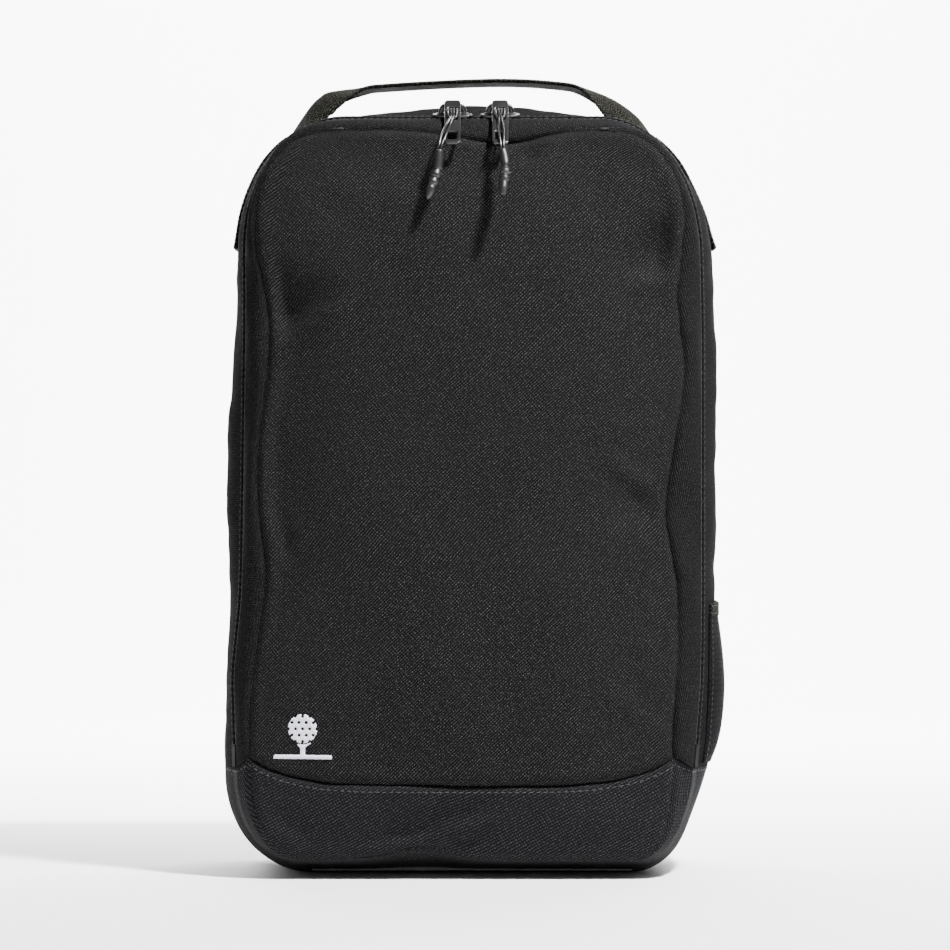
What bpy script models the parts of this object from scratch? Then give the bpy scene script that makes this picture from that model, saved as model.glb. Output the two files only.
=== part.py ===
"""Golf shoe bag: an upright fabric bag with a zipped front that folds down from its base band.

Metres, +Z up. The origin is the centre of the flat base. +X is the bag's left as its user wears
it, so the viewer's right; the front panel faces -Y. Each sub-part is one object. What moves hangs
from an empty, or has its own origin, on the axis that it turns about.
"""

import math

import bpy
from mathutils import Euler, Vector

# ---- Whole bag ----------------------------------------------------------------------------------
BAG_WIDTH = 0.230
SHOULDER_HEIGHT = 0.353
CROWN_RISE = 0.007
TOP_RADIUS_X = 0.056
TOP_RADIUS_Z = 0.063
BASE_RADIUS_X = 0.038
BASE_RADIUS_Z = 0.046
FRONT_DEPTH = 0.052
REAR_DEPTH = 0.054
BAND_TOP = 0.050
FRONT_BULGE = 0.012
BACK_BULGE = 0.008
BULGE_POWER = 3.0

# ---- Cloth and fits -----------------------------------------------------------------------------
FABRIC = 0.0015
GAP = 0.0004
SEAM_LAP = FABRIC + 0.0008
BINDING_THICKNESS = 0.0012
BINDING_WIDTH = 0.005
BINDING_INSET = FABRIC + 0.0010
BOARD_THICKNESS = 0.0025
BOARD_MARGIN = 0.0025

# ---- How far each seam lies inside the full outline: at the sides, the top and the base ----------
FRONT_SEAM_SIDE = 0.018
FRONT_SEAM_TOP = 0.007
FRONT_SEAM_BASE = 0.009
FRONT_SEAM_SAG = 0.0065
ZIP_FRONT_BASE = 0.0045
REAR_SEAM_SIDE = 0.012
REAR_SEAM_TOP = 0.010
REAR_SEAM_BASE = 0.008
CROWN_FRONT_Y = -0.014
CROWN_REAR_Y = 0.030

# ---- Zip ----------------------------------------------------------------------------------------
ZIP_Y = -0.038
ZIP_DROP = 0.0006
ZIP_SIDE = 0.0085
ZIP_TILT = math.radians(12.0)
ZIP_WIDTH = 0.0116
TAPE_THICKNESS = 0.0008
TAPE_EDGE = 0.0014
ZIP_SLOT = 0.0016
COIL_WIDTH = 0.0021
COIL_THICKNESS = 0.0014
COIL_DEPTH = TAPE_THICKNESS + 0.0003
TAPE_FOOT = 0.008
END_TAB_HEIGHT = 0.0066
END_TAB_THICKNESS = 0.0012

# ---- Slider, puller and cord pull ---------------------------------------------------------------
SLIDER_CENTRE_X = 0.002
SLIDER_LENGTH = 0.0185
SLIDER_SPACING = SLIDER_LENGTH + 0.0035
SLIDER_WIDTH = 0.009
SLIDER_PLATE = 0.0012
SLIDER_CLEARANCE = 0.0003
SLIDER_POST_LENGTH = 0.005
SLIDER_POST_WIDTH = 0.0009
CORD_RADIUS = 0.0009
BAR_HEIGHT = 0.0038 + 2 * CORD_RADIUS
BAR_RADIUS = 0.0008
BAR_POST_X = 0.0040
BAR_POST_WIDTH = 0.0016
PULLER_ANGLE = math.radians(46.0)
PULLER_WIDTH = 0.0075
PULLER_LENGTH = 0.0295
PULLER_THICKNESS = 0.0014
PULLER_OFFSET = 0.0015
KNUCKLE_RADIUS = 0.0020
KNUCKLE_BORE = 0.00115
KNUCKLE_WIDTH = 0.0050
SLOT_WIDTH = 0.0050
CROSSBAR_AT = 0.0086
CROSSBAR_WIDTH = 0.0020
UPPER_SLOT = 0.0031
LOWER_SLOT = 0.0040
WINDOW_START = 0.0210
WINDOW_LENGTH = 0.0060
CORD_GAP = 0.00035
CORD_LIFT = 0.0001
# Shares of the sideways lean the strands have taken up on their way down the plate.
STRAND_START = 0.06
STRAND_WAIST = 0.30
STRAND_FOOT = 0.62
STRAND_ENTRY = 0.86
# How far down the plate the waist lies, as a share of its length.
STRAND_ALONG = 0.70
STRAND_X = 0.00115
SLEEVE_LENGTH = 0.024
SLEEVE_RADIUS = 0.00275
SLEEVE_TOP_DROP = 0.0224
SLEEVE_TOP_OUT = 0.0250
SLEEVE_LIFT = math.radians(10.0)

# ---- Handle -------------------------------------------------------------------------------------
WEBBING_WIDTH = 0.025
WEBBING_THICKNESS = 0.002
HANDLE_Y = 0.005
HANDLE_PIVOT_Z = SHOULDER_HEIGHT + 0.0075
HANDLE_SIDE_X = BAG_WIDTH / 2 - 0.028
HANDLE_TOP_Z = SHOULDER_HEIGHT + 0.020
# The loop's middle line: how far in from a root, and how far below the highest point.
HANDLE_LEFT_BEND = ((0.006, 0.015), (0.0135, 0.008), (0.027, 0.0035), (0.067, 0.001))
HANDLE_PEAK_X = 0.018
HANDLE_RIGHT_BEND = ((0.041, 0.001), (0.023, 0.006), (0.008, 0.0145))
HANDLE_RIGHT_FOOT = (0.001, 0.0005)
HANDLE_END_FOOT = math.radians(3.0)
HANDLE_END_HEAD = math.radians(58.0)

# ---- Side pocket --------------------------------------------------------------------------------
POCKET_FOOT = 0.052
POCKET_HEIGHT = 0.0686
POCKET_FRONT_Y = -0.029
POCKET_REAR_Y = 0.040
POCKET_BULGE = 0.0035
POCKET_THICKNESS = 0.0010
HEM_HEIGHT = 0.006
HEM_THICKNESS = 0.0020
HEM_PROUD = 0.0012

# ---- Mesh steps ---------------------------------------------------------------------------------
SIDE_STEPS = 6
CORNER_STEPS = 8
TOP_STEPS = 5
BASE_STEPS = 4
PANEL_COLUMNS = 12
PANEL_ROWS = 7

CORNER_X = BAG_WIDTH / 2 - TOP_RADIUS_X
CORNER_Z = SHOULDER_HEIGHT - TOP_RADIUS_Z
BASE_X = BAG_WIDTH / 2 - BASE_RADIUS_X
BASE_Z = BASE_RADIUS_Z


# ---- Rings: the lines round the bag that its seams follow -----------------------------------------
class Ring:
    """One line round the bag in a plane y, lying inside the full outline by side, top and base.

    rise lifts the middle of its top edge above the shoulders; a negative rise lets it sag.
    """

    def __init__(self, y, side, top, base, rise=0.0):
        self.y = y
        self.side = side
        self.top = top
        self.base = base
        self.rise = rise

    def inside(self, depth, y):
        """The same line, further inside by depth all round, in the plane y."""
        return Ring(y, self.side + depth, self.top + depth, self.base + depth, self.rise)

    def toward(self, other, share, turned_in):
        """The line this share of the depth to the other, and turned_in of the way to its outline."""
        mixed = [a + (b - a) * turned_in for a, b in zip(self.values(), other.values())]
        return Ring(self.y + (other.y - self.y) * share, *mixed[1:])

    def values(self):
        return self.y, self.side, self.top, self.base, self.rise


def zip_ring(offset, depth=0.0):
    """The ring on the tilted zip band, offset across it from its middle and depth below it."""
    across = offset * math.sin(ZIP_TILT)
    inward = depth * math.cos(ZIP_TILT)
    y = ZIP_Y + offset * math.cos(ZIP_TILT) + depth * math.sin(ZIP_TILT)
    zip_base = ZIP_FRONT_BASE * 0.5 * (1 - offset / (ZIP_WIDTH / 2))
    return Ring(y, ZIP_SIDE - across + inward, ZIP_DROP - across + inward, zip_base + inward)


FRONT_SEAM = Ring(
    -FRONT_DEPTH, FRONT_SEAM_SIDE, FRONT_SEAM_TOP, FRONT_SEAM_BASE, -FRONT_SEAM_SAG
)
ZIP_FRONT = zip_ring(-ZIP_WIDTH / 2)
ZIP_REAR = zip_ring(ZIP_WIDTH / 2)
CROWN_FRONT = Ring(CROWN_FRONT_Y, 0.0, 0.0, 0.0, CROWN_RISE)
CROWN_REAR = Ring(CROWN_REAR_Y, 0.0, 0.0, 0.0, CROWN_RISE)
REAR_SEAM = Ring(REAR_DEPTH, REAR_SEAM_SIDE, REAR_SEAM_TOP, REAR_SEAM_BASE)


def gusset_rings():
    """The rear strip's rings, from the zip over the crown to the back seam, rounded at both edges."""
    rings = [ZIP_REAR.toward(CROWN_FRONT, share, 1 - (1 - share) ** 2) for share in (0, 1 / 2, 1)]
    return rings + [CROWN_REAR.toward(REAR_SEAM, share, share**2) for share in (0, 1 / 3, 2 / 3, 1)]


def arch(ring, foot):
    """Points (x, z) up the left side from height foot, over the top and down the right side."""
    half = BAG_WIDTH / 2 - ring.side
    radius_x = TOP_RADIUS_X - ring.side
    radius_z = TOP_RADIUS_Z - ring.top
    left = []
    for step in range(SIDE_STEPS):
        left.append((-half, foot + (CORNER_Z - foot) * step / SIDE_STEPS))
    for step in range(CORNER_STEPS):
        angle = math.pi / 2 * step / CORNER_STEPS
        x = -CORNER_X - radius_x * math.cos(angle)
        left.append((x, CORNER_Z + radius_z * math.sin(angle)))
    for step in range(TOP_STEPS + 1):
        x = -CORNER_X * (1 - step / TOP_STEPS)
        left.append((x, top_height(ring, x)))
    return left + [(-x, z) for x, z in reversed(left[:-1])]


def top_height(ring, x):
    """Height of the ring's top edge at x, between the two corners."""
    return SHOULDER_HEIGHT - ring.top + ring.rise * (1 - (x / CORNER_X) ** 2)


def cradle(ring, rim):
    """Points (x, z) down the right side from height rim, along the base and up the left side."""
    radius_x = BASE_RADIUS_X - ring.side
    radius_z = BASE_RADIUS_Z - ring.base
    right = []
    if rim > BASE_Z:
        right.append((BAG_WIDTH / 2 - ring.side, rim))
    first = math.asin(max(0.0, BASE_Z - rim) / radius_z)
    for step in range(CORNER_STEPS):
        angle = first + (math.pi / 2 - first) * step / CORNER_STEPS
        right.append((BASE_X + radius_x * math.cos(angle), BASE_Z - radius_z * math.sin(angle)))
    for step in range(BASE_STEPS + 1):
        right.append((BASE_X * (1 - step / BASE_STEPS), ring.base))
    return right + [(-x, z) for x, z in reversed(right[:-1])]


def row_of(path, y):
    return [(x, y, z) for x, z in path]


def side_inset(y):
    """How far the rear gusset's side lies inside the full width, at depth y."""
    rings = gusset_rings()
    for near, far in zip(rings, rings[1:]):
        if y <= far.y:
            return near.side + (far.side - near.side) * (y - near.y) / (far.y - near.y)
    return REAR_SEAM.side


# ---- Panels: the front and back faces, bulged between their seams ---------------------------------
def panel_levels(ring, lowest, highest):
    """(z, half width, share of sag) up a panel between two heights, or None for its own edge."""
    radius_x = TOP_RADIUS_X - ring.side
    radius_z = TOP_RADIUS_Z - ring.top
    levels = []
    if lowest is None:
        for step in range(CORNER_STEPS, 0, -1):
            angle = math.pi / 2 * step / CORNER_STEPS
            z = BASE_Z - (BASE_RADIUS_Z - ring.base) * math.sin(angle)
            if z < highest:
                half = BASE_X + (BASE_RADIUS_X - ring.side) * math.cos(angle)
                levels.append((z, half, 0.0))
        levels.append((highest, BAG_WIDTH / 2 - ring.side, 0.0))
        return levels
    for step in range(PANEL_ROWS):
        z = lowest + (CORNER_Z - lowest) * step / PANEL_ROWS
        levels.append((z, BAG_WIDTH / 2 - ring.side, 0.0))
    for step in range(CORNER_STEPS + 1):
        angle = math.pi / 2 * step / CORNER_STEPS
        half = CORNER_X + radius_x * math.cos(angle)
        levels.append((CORNER_Z + radius_z * math.sin(angle), half, math.sin(angle) ** 4))
    return levels


def panel_rows(seam, bulge, facing, lowest, highest):
    """Rows of points over a panel; facing is -1 for the front face and +1 for the back."""
    ring = seam.inside(SEAM_LAP, seam.y)
    top = SHOULDER_HEIGHT - ring.top
    middle = (top + ring.base) / 2
    reach = (top - ring.base) / 2
    rows = []
    for z, half, sag_share in panel_levels(ring, lowest, highest):
        lift = 1 - min(1.0, abs(z - middle) / reach) ** BULGE_POWER
        row = []
        for column in range(PANEL_COLUMNS + 1):
            share = -1 + 2 * column / PANEL_COLUMNS
            crown = 1 - abs(share) ** 2.5
            dip = seam.rise * sag_share * (1 - share**2)
            row.append((share * half, seam.y + facing * bulge * crown * lift, z + dip))
        rows.append(row if facing < 0 else row[::-1])
    return rows


# ---- Mesh and object helpers ----------------------------------------------------------------------
MATERIALS = {}


def material(name, colour, roughness, metallic=0.0):
    """The Principled BSDF of this name, made once."""
    if name not in MATERIALS:
        made = bpy.data.materials.new(name)
        made.use_nodes = True
        shader = made.node_tree.nodes["Principled BSDF"]
        shader.inputs["Base Color"].default_value = (*colour, 1.0)
        shader.inputs["Roughness"].default_value = roughness
        shader.inputs["Metallic"].default_value = metallic
        made.diffuse_color = (*colour, 1.0)
        MATERIALS[name] = made
    return MATERIALS[name]


def canvas():
    return material("woven_polyester", (0.028, 0.028, 0.030), 0.85)


def base_weave():
    return material("coarse_weave", (0.020, 0.020, 0.022), 0.80)


def mesh_net():
    return material("mesh_net", (0.022, 0.022, 0.024), 0.80)


def lining():
    return material("lining", (0.040, 0.040, 0.043), 0.75)


def zip_tape():
    return material("zip_tape", (0.012, 0.012, 0.013), 0.75)


def zip_coil():
    return material("zip_coil", (0.010, 0.010, 0.011), 0.35)


def webbing():
    return material("webbing", (0.022, 0.022, 0.021), 0.70)


def board_plastic():
    return material("board_plastic", (0.045, 0.045, 0.047), 0.55)


def slider_metal():
    return material("slider_metal", (0.030, 0.030, 0.032), 0.22, 1.0)


def pull_cord():
    return material("pull_cord", (0.020, 0.020, 0.020), 0.45)


def pull_rubber():
    return material("pull_rubber", (0.018, 0.018, 0.018), 0.50)


def add_object(name, points, faces, finish, parent=None):
    """A mesh object from points in world space; under a parent, it keeps its place."""
    mesh = bpy.data.meshes.new(name)
    mesh.from_pydata(points, [], faces)
    mesh.validate()
    made = bpy.data.objects.new(name, mesh)
    bpy.context.scene.collection.objects.link(made)
    made.data.materials.append(finish)
    if parent is not None:
        made.parent = parent
        made.location = -parent.location
    return made


def grid_faces(row_count, column_count, closed):
    """Quads over a grid of points; closed joins each row's last point to its first."""
    faces = []
    for row in range(row_count - 1):
        for column in range(column_count if closed else column_count - 1):
            after = (column + 1) % column_count
            low = row * column_count
            high = low + column_count
            faces.append((low + column, low + after, high + after, high + column))
    return faces


def sheet(name, rows, thickness, finish, parent=None, closed=False, offset=-1.0):
    """A sheet over rows of points, thickened away from its outer face."""
    points = [point for row in rows for point in row]
    faces = grid_faces(len(rows), len(rows[0]), closed)
    made = add_object(name, points, faces, finish, parent)
    made.data.shade_smooth()
    solid = made.modifiers.new("thickness", "SOLIDIFY")
    solid.thickness = thickness
    solid.offset = offset
    solid.use_even_offset = True
    return made


def box(name, low, high, finish):
    """A closed box between two corners."""
    points = [(x, y, z) for x in (low[0], high[0]) for y in (low[1], high[1]) for z in (low[2], high[2])]
    faces = [(0, 1, 3, 2), (4, 6, 7, 5), (0, 4, 5, 1), (2, 3, 7, 6), (0, 2, 6, 4), (1, 5, 7, 3)]
    return add_object(name, points, faces, finish)


def turned(name, profile, finish, sides=12):
    """A solid turned about its own -Z axis from (distance down, radius); its two ends close to points."""
    points = [(0.0, 0.0, -profile[0][0])]
    for drop, radius in profile[1:-1]:
        for side in range(sides):
            angle = 2 * math.pi * side / sides
            points.append((radius * math.cos(angle), radius * math.sin(angle), -drop))
    points.append((0.0, 0.0, -profile[-1][0]))
    faces = [(0, 1 + side, 1 + (side + 1) % sides) for side in range(sides)]
    for ring in range(len(profile) - 3):
        for side in range(sides):
            here = 1 + ring * sides
            after = (side + 1) % sides
            faces.append((here + side, here + sides + side, here + sides + after, here + after))
    last = 1 + (len(profile) - 3) * sides
    for side in range(sides):
        faces.append((last + side, len(points) - 1, last + (side + 1) % sides))
    made = add_object(name, points, faces, finish)
    made.data.shade_smooth()
    return made


def tube_along_x(name, length, radius, finish, sides=12):
    """A closed cylinder along X, centred on the origin."""
    points = []
    for x in (-length / 2, length / 2):
        for side in range(sides):
            angle = 2 * math.pi * side / sides
            points.append((x, radius * math.cos(angle), radius * math.sin(angle)))
    faces = [tuple(range(sides))[::-1], tuple(range(sides, 2 * sides))]
    for side in range(sides):
        after = (side + 1) % sides
        faces.append((side, after, sides + after, sides + side))
    return add_object(name, points, faces, finish)


def combine(target, tool, operation):
    """Joins the tool to the target, or cuts it away, and hides the tool."""
    tool.parent = target
    tool.hide_render = True
    tool.display_type = "WIRE"
    change = target.modifiers.new(tool.name, "BOOLEAN")
    change.operation = operation
    change.solver = "EXACT"
    change.object = tool


def pivot(name, location, parent=None):
    """An empty on a joint's axis."""
    made = bpy.data.objects.new(name, None)
    bpy.context.scene.collection.objects.link(made)
    made.location = location
    made.parent = parent
    return made


# ---- The base and the back, which stay still -----------------------------------------------------
def make_body():
    """The base, the back panel and the strip round the back half of the bag."""
    foot = BAND_TOP + GAP
    sheet("rear_gusset", [row_of(arch(r, foot), r.y) for r in gusset_rings()], FABRIC, canvas())
    below = [FRONT_SEAM, ZIP_FRONT] + gusset_rings()
    sheet("base_gusset", [row_of(cradle(r, BAND_TOP), r.y) for r in below], FABRIC, base_weave())
    front = panel_rows(FRONT_SEAM, FRONT_BULGE, -1, None, BAND_TOP)
    sheet("front_base_panel", front, FABRIC, base_weave())
    back = panel_rows(REAR_SEAM, BACK_BULGE, 1, None, BAND_TOP)
    sheet("back_base_panel", back, FABRIC, base_weave())
    sheet("back_panel", panel_rows(REAR_SEAM, BACK_BULGE, 1, foot, None), FABRIC, canvas())
    low = (-BASE_X + BOARD_MARGIN, ZIP_REAR.y + BOARD_MARGIN, FABRIC + GAP)
    high = (BASE_X - BOARD_MARGIN, CROWN_REAR.y - BOARD_MARGIN, FABRIC + GAP + BOARD_THICKNESS)
    box("base_board", low, high, board_plastic())


def binding_rows(seam, inward, paths):
    """Two rows of a binding tape that lies inside a seam; inward is +1 behind the front seam."""
    near = seam.y + inward * BINDING_INSET
    far = near + inward * BINDING_WIDTH
    return [row_of(paths(seam.inside(BINDING_INSET, y)), y) for y in sorted((near, far))]


def closed_outline(ring):
    """The whole ring as a closed run of points, up the left side and back along the base."""
    under = cradle(ring, BAND_TOP)
    return arch(ring, BAND_TOP + (CORNER_Z - BAND_TOP) / SIDE_STEPS)[:-1] + under


def make_bindings(flap):
    """The tapes that cover the raw seam edges inside the bag."""
    over = binding_rows(FRONT_SEAM, 1, lambda ring: arch(ring, BAND_TOP + 2 * BINDING_THICKNESS))
    sheet("front_binding", over, BINDING_THICKNESS, lining(), flap)
    under = binding_rows(FRONT_SEAM, 1, lambda ring: cradle(ring, BAND_TOP - GAP))
    sheet("front_base_binding", under, BINDING_THICKNESS, lining())
    round_back = binding_rows(REAR_SEAM, -1, closed_outline)
    sheet("rear_binding", round_back, BINDING_THICKNESS, lining(), closed=True)


# ---- Zip -----------------------------------------------------------------------------------------
def zip_strip(name, inner, outer, depth, thickness, finish, parent=None):
    """A strip of the zip band between two distances across it, from its foot round to its foot."""
    rings = [zip_ring(inner, depth), zip_ring(outer, depth)]
    rows = [row_of(arch(ring, BAND_TOP + TAPE_FOOT), ring.y) for ring in rings]
    return sheet(name, rows, thickness, finish, parent)


def make_zip(flap):
    """Two tapes with their coils, one on the folding front and one on the bag, and the end tabs."""
    edge = ZIP_WIDTH / 2 - TAPE_EDGE
    slot = ZIP_SLOT / 2
    coil = slot + COIL_WIDTH
    zip_strip("front_zip_tape", -edge, -slot, 0.0, TAPE_THICKNESS, zip_tape(), flap)
    zip_strip("rear_zip_tape", slot, edge, 0.0, TAPE_THICKNESS, zip_tape())
    zip_strip("front_zip_coil", -coil, -slot, COIL_DEPTH, COIL_THICKNESS, zip_coil(), flap)
    zip_strip("rear_zip_coil", slot, coil, COIL_DEPTH, COIL_THICKNESS, zip_coil())
    foot = BAND_TOP + GAP
    for name, side in (("zip_end_tab_left", -1), ("zip_end_tab_right", 1)):
        rows = []
        for offset in (-edge, edge):
            ring = zip_ring(offset)
            x = side * (BAG_WIDTH / 2 - ring.side)
            column = [(x, ring.y, foot), (x, ring.y, foot + END_TAB_HEIGHT)]
            rows.append(column if side < 0 else column[::-1])
        sheet(name, rows, END_TAB_THICKNESS, zip_tape())


# ---- Folding front -------------------------------------------------------------------------------
def flap_axis():
    """The fold line: the most forward line of the seam between the front panel and its base band."""
    ring = FRONT_SEAM.inside(SEAM_LAP, FRONT_SEAM.y)
    middle = (SHOULDER_HEIGHT - ring.top + ring.base) / 2
    reach = (SHOULDER_HEIGHT - ring.top - ring.base) / 2
    lift = 1 - (abs(BAND_TOP - middle) / reach) ** BULGE_POWER
    return Vector((0.0, -FRONT_DEPTH - FRONT_BULGE * lift - GAP, BAND_TOP))


def make_flap():
    """The front panel and the strip that frames it, on the fold line above the base band."""
    flap = pivot("flap_axis", flap_axis())
    foot = BAND_TOP + GAP
    rings = [FRONT_SEAM, ZIP_FRONT]
    strip = [row_of(arch(ring, foot), ring.y) for ring in rings]
    sheet("front_gusset", strip, FABRIC, canvas(), flap)
    face = panel_rows(FRONT_SEAM, FRONT_BULGE, -1, foot, None)
    sheet("front_panel", face, FABRIC, canvas(), flap)
    return flap


# ---- Sliders, pullers and cord pulls -------------------------------------------------------------
def slider_solid(name):
    """A zip slider about the middle of the zip band, which lies in its own XY plane."""
    half = SLIDER_LENGTH / 2
    wide = SLIDER_WIDTH / 2
    low = SLIDER_CLEARANCE
    under = -(COIL_DEPTH + COIL_THICKNESS + SLIDER_CLEARANCE)
    metal = slider_metal()
    slider = box(name, (-half, -wide, low), (half, wide, low + SLIDER_PLATE), metal)
    plate = box(name + "_lower", (-half, -wide, under - SLIDER_PLATE), (half, wide, under), metal)
    sunk = SLIDER_PLATE / 2
    post_low = (-SLIDER_POST_LENGTH / 2, -SLIDER_POST_WIDTH / 2, under - sunk)
    post = box(name + "_post", post_low, tuple(-c for c in post_low[:2]) + (low + sunk,), metal)
    combine(slider, post, "UNION")
    combine(slider, plate, "UNION")
    for side in (-1, 1):
        middle = side * BAR_POST_X
        thick = BAR_POST_WIDTH / 2
        foot = (middle - thick, -BAR_POST_WIDTH / 2, low + sunk)
        head = (middle + thick, BAR_POST_WIDTH / 2, BAR_HEIGHT + BAR_RADIUS)
        combine(slider, box(f"{name}_ear_{side + 1}", foot, head, metal), "UNION")
    bar = tube_along_x(name + "_bar", 2 * BAR_POST_X, BAR_RADIUS, metal)
    bar.location.z = BAR_HEIGHT
    combine(slider, bar, "UNION")
    return slider


def puller_solid(name):
    """A puller plate about its bar's axis; it reaches along its own -Y, with its face to +Z."""
    across = [-PULLER_WIDTH / 2, -SLOT_WIDTH / 2, SLOT_WIDTH / 2, PULLER_WIDTH / 2]
    upper = CROSSBAR_AT - CROSSBAR_WIDTH / 2
    lower = CROSSBAR_AT + CROSSBAR_WIDTH / 2
    along = [0.0, upper - UPPER_SLOT, upper, lower, lower + LOWER_SLOT,
             WINDOW_START, WINDOW_START + WINDOW_LENGTH, PULLER_LENGTH]
    open_rows = (1, 3, 5)
    points = [(x, -a, PULLER_OFFSET + PULLER_THICKNESS) for a in along for x in across]
    faces = []
    for row in range(len(along) - 1):
        for column in range(3):
            if column == 1 and row in open_rows:
                continue
            here = row * 4 + column
            faces.append((here, here + 4, here + 5, here + 1))
    puller = add_object(name, points, faces, slider_metal())
    solid = puller.modifiers.new("thickness", "SOLIDIFY")
    solid.thickness = PULLER_THICKNESS
    solid.offset = -1.0
    knuckle = tube_along_x(name + "_knuckle", KNUCKLE_WIDTH, KNUCKLE_RADIUS, slider_metal(), 16)
    combine(puller, knuckle, "UNION")
    bore = tube_along_x(name + "_bore", 2 * KNUCKLE_WIDTH, KNUCKLE_BORE, slider_metal())
    combine(puller, bore, "DIFFERENCE")
    return puller


def smooth_path(points, steps):
    """Points on a Catmull-Rom curve through the given ones, steps to each stretch."""
    line = [Vector(point) for point in points]
    ends = [2 * line[0] - line[1]] + line + [2 * line[-1] - line[-2]]
    made = []
    for before, start, end, after in zip(ends, ends[1:], ends[2:], ends[3:]):
        for step in range(steps):
            t = step / steps
            made.append(0.5 * (2 * start + (end - before) * t
                               + (2 * before - 5 * start + 4 * end - after) * t**2
                               + (3 * start - before - 3 * end + after) * t**3))
    return made + [line[-1]]


def cord_route(lean):
    """The cord's middle line in the puller's frame: up one strand, round the crossbar, back down.

    lean is how far to the side the sleeve's top lies from the crossbar.
    """
    face = PULLER_OFFSET + PULLER_THICKNESS + CORD_RADIUS + CORD_GAP
    middle = PULLER_OFFSET + PULLER_THICKNESS / 2
    turn = math.hypot(CROSSBAR_WIDTH / 2, PULLER_THICKNESS / 2) + CORD_RADIUS + 1.3 * CORD_GAP
    end_y, end_z = sleeve_top()[1:]
    run_down = [
        (STRAND_START * lean, -CROSSBAR_AT - 2.0 * turn, face + CORD_LIFT),
        (STRAND_WAIST * lean, -STRAND_ALONG * PULLER_LENGTH, face + CORD_LIFT),
        (STRAND_FOOT * lean, -PULLER_LENGTH, face + 3 * CORD_LIFT),
        (STRAND_ENTRY * lean, (end_y - PULLER_LENGTH) / 2, (face + end_z) / 2 + 8 * CORD_LIFT),
        (lean, end_y, end_z),
    ]
    wrap = []
    for degrees in (0, 45, 90, 135, 180, 225, 265):
        angle = math.radians(degrees)
        x = STRAND_X * (2 * degrees / 265 - 1)
        wrap.append((x, -CROSSBAR_AT + turn * math.sin(angle), middle + turn * math.cos(angle)))
    rising = (STRAND_X, -CROSSBAR_AT - 1.25 * turn, face - CORD_RADIUS / 2)
    up = [(x - STRAND_X, y, z) for x, y, z in reversed(run_down)]
    down = [(x + STRAND_X, y, z) for x, y, z in run_down]
    return up + wrap + [rising] + down


def sleeve_top(clear=0.0):
    """Where the sleeve's top lies in the puller's frame, clear of the cord's ends by a gap."""
    drop = SLEEVE_TOP_DROP + clear
    along = SLEEVE_TOP_OUT * math.cos(PULLER_ANGLE) + drop * math.sin(PULLER_ANGLE)
    out = SLEEVE_TOP_OUT * math.sin(PULLER_ANGLE) - drop * math.cos(PULLER_ANGLE)
    return Vector((0.0, -along, out))


def sleeve_profile():
    """(distance down, radius) of the moulded grip, with two knuckles and a tapered tip."""
    waist = 0.80 * SLEEVE_RADIUS
    marks = [(0.0, 0.0), (0.0, 0.93), (0.34, 0.93), (0.40, None), (0.47, 1.0), (0.54, None),
             (0.61, 1.0), (0.68, None), (0.75, 0.96), (0.88, 0.86), (0.975, 0.50), (1.0, 0.0)]
    return [(share * SLEEVE_LENGTH, waist if r is None else r * SLEEVE_RADIUS) for share, r in marks]


def make_pull(side, puller, lean, tilt):
    """The cord and its moulded grip, hung from the puller's crossbar."""
    pull = pivot(f"pull_{side}_axis", (0.0, -CROSSBAR_AT, PULLER_OFFSET + PULLER_THICKNESS / 2), puller)
    line = bpy.data.curves.new(f"cord_{side}", "CURVE")
    line.dimensions = "3D"
    line.bevel_depth = CORD_RADIUS
    line.bevel_resolution = 2
    line.use_fill_caps = True
    points = smooth_path(cord_route(lean), 2)
    spline = line.splines.new("POLY")
    spline.points.add(len(points) - 1)
    for place, point in zip(spline.points, points):
        place.co = (*point, 1.0)
    cord = bpy.data.objects.new(f"cord_{side}", line)
    bpy.context.scene.collection.objects.link(cord)
    cord.data.materials.append(pull_cord())
    cord.parent = pull
    cord.location = -pull.location
    sleeve = turned(f"sleeve_{side}", sleeve_profile(), pull_rubber())
    sleeve.parent = pull
    sleeve.location = sleeve_top(GAP + CORD_RADIUS / 2) + Vector((lean, 0.0, 0.0)) - pull.location
    upright = Euler((PULLER_ANGLE, 0.0, 0.0)).to_matrix().inverted()
    lean_out = Euler((-SLEEVE_LIFT, 0.0, 0.0)).to_matrix() @ Euler((0.0, tilt, 0.0)).to_matrix()
    sleeve.rotation_euler = (upright @ lean_out).to_euler()


def make_sliders(flap):
    """Two sliders that meet at the top of the zip, each with its puller and cord pull."""
    middle = Vector((0.0, ZIP_Y, SHOULDER_HEIGHT - ZIP_DROP))
    for side, sign, lean, tilt in (("left", -1, -0.006, 10.0), ("right", 1, 0.001, -2.0)):
        slider = slider_solid(f"slider_{side}")
        slider.parent = flap
        x = SLIDER_CENTRE_X + sign * SLIDER_SPACING / 2
        slider.location = middle + Vector((x, 0.0, 0.0)) - flap.location
        slider.rotation_euler.x = ZIP_TILT
        puller = puller_solid(f"puller_{side}")
        puller.parent = slider
        puller.location = (0.0, 0.0, BAR_HEIGHT)
        puller.rotation_euler.x = PULLER_ANGLE - ZIP_TILT
        make_pull(side, puller, lean, math.radians(tilt))


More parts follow.
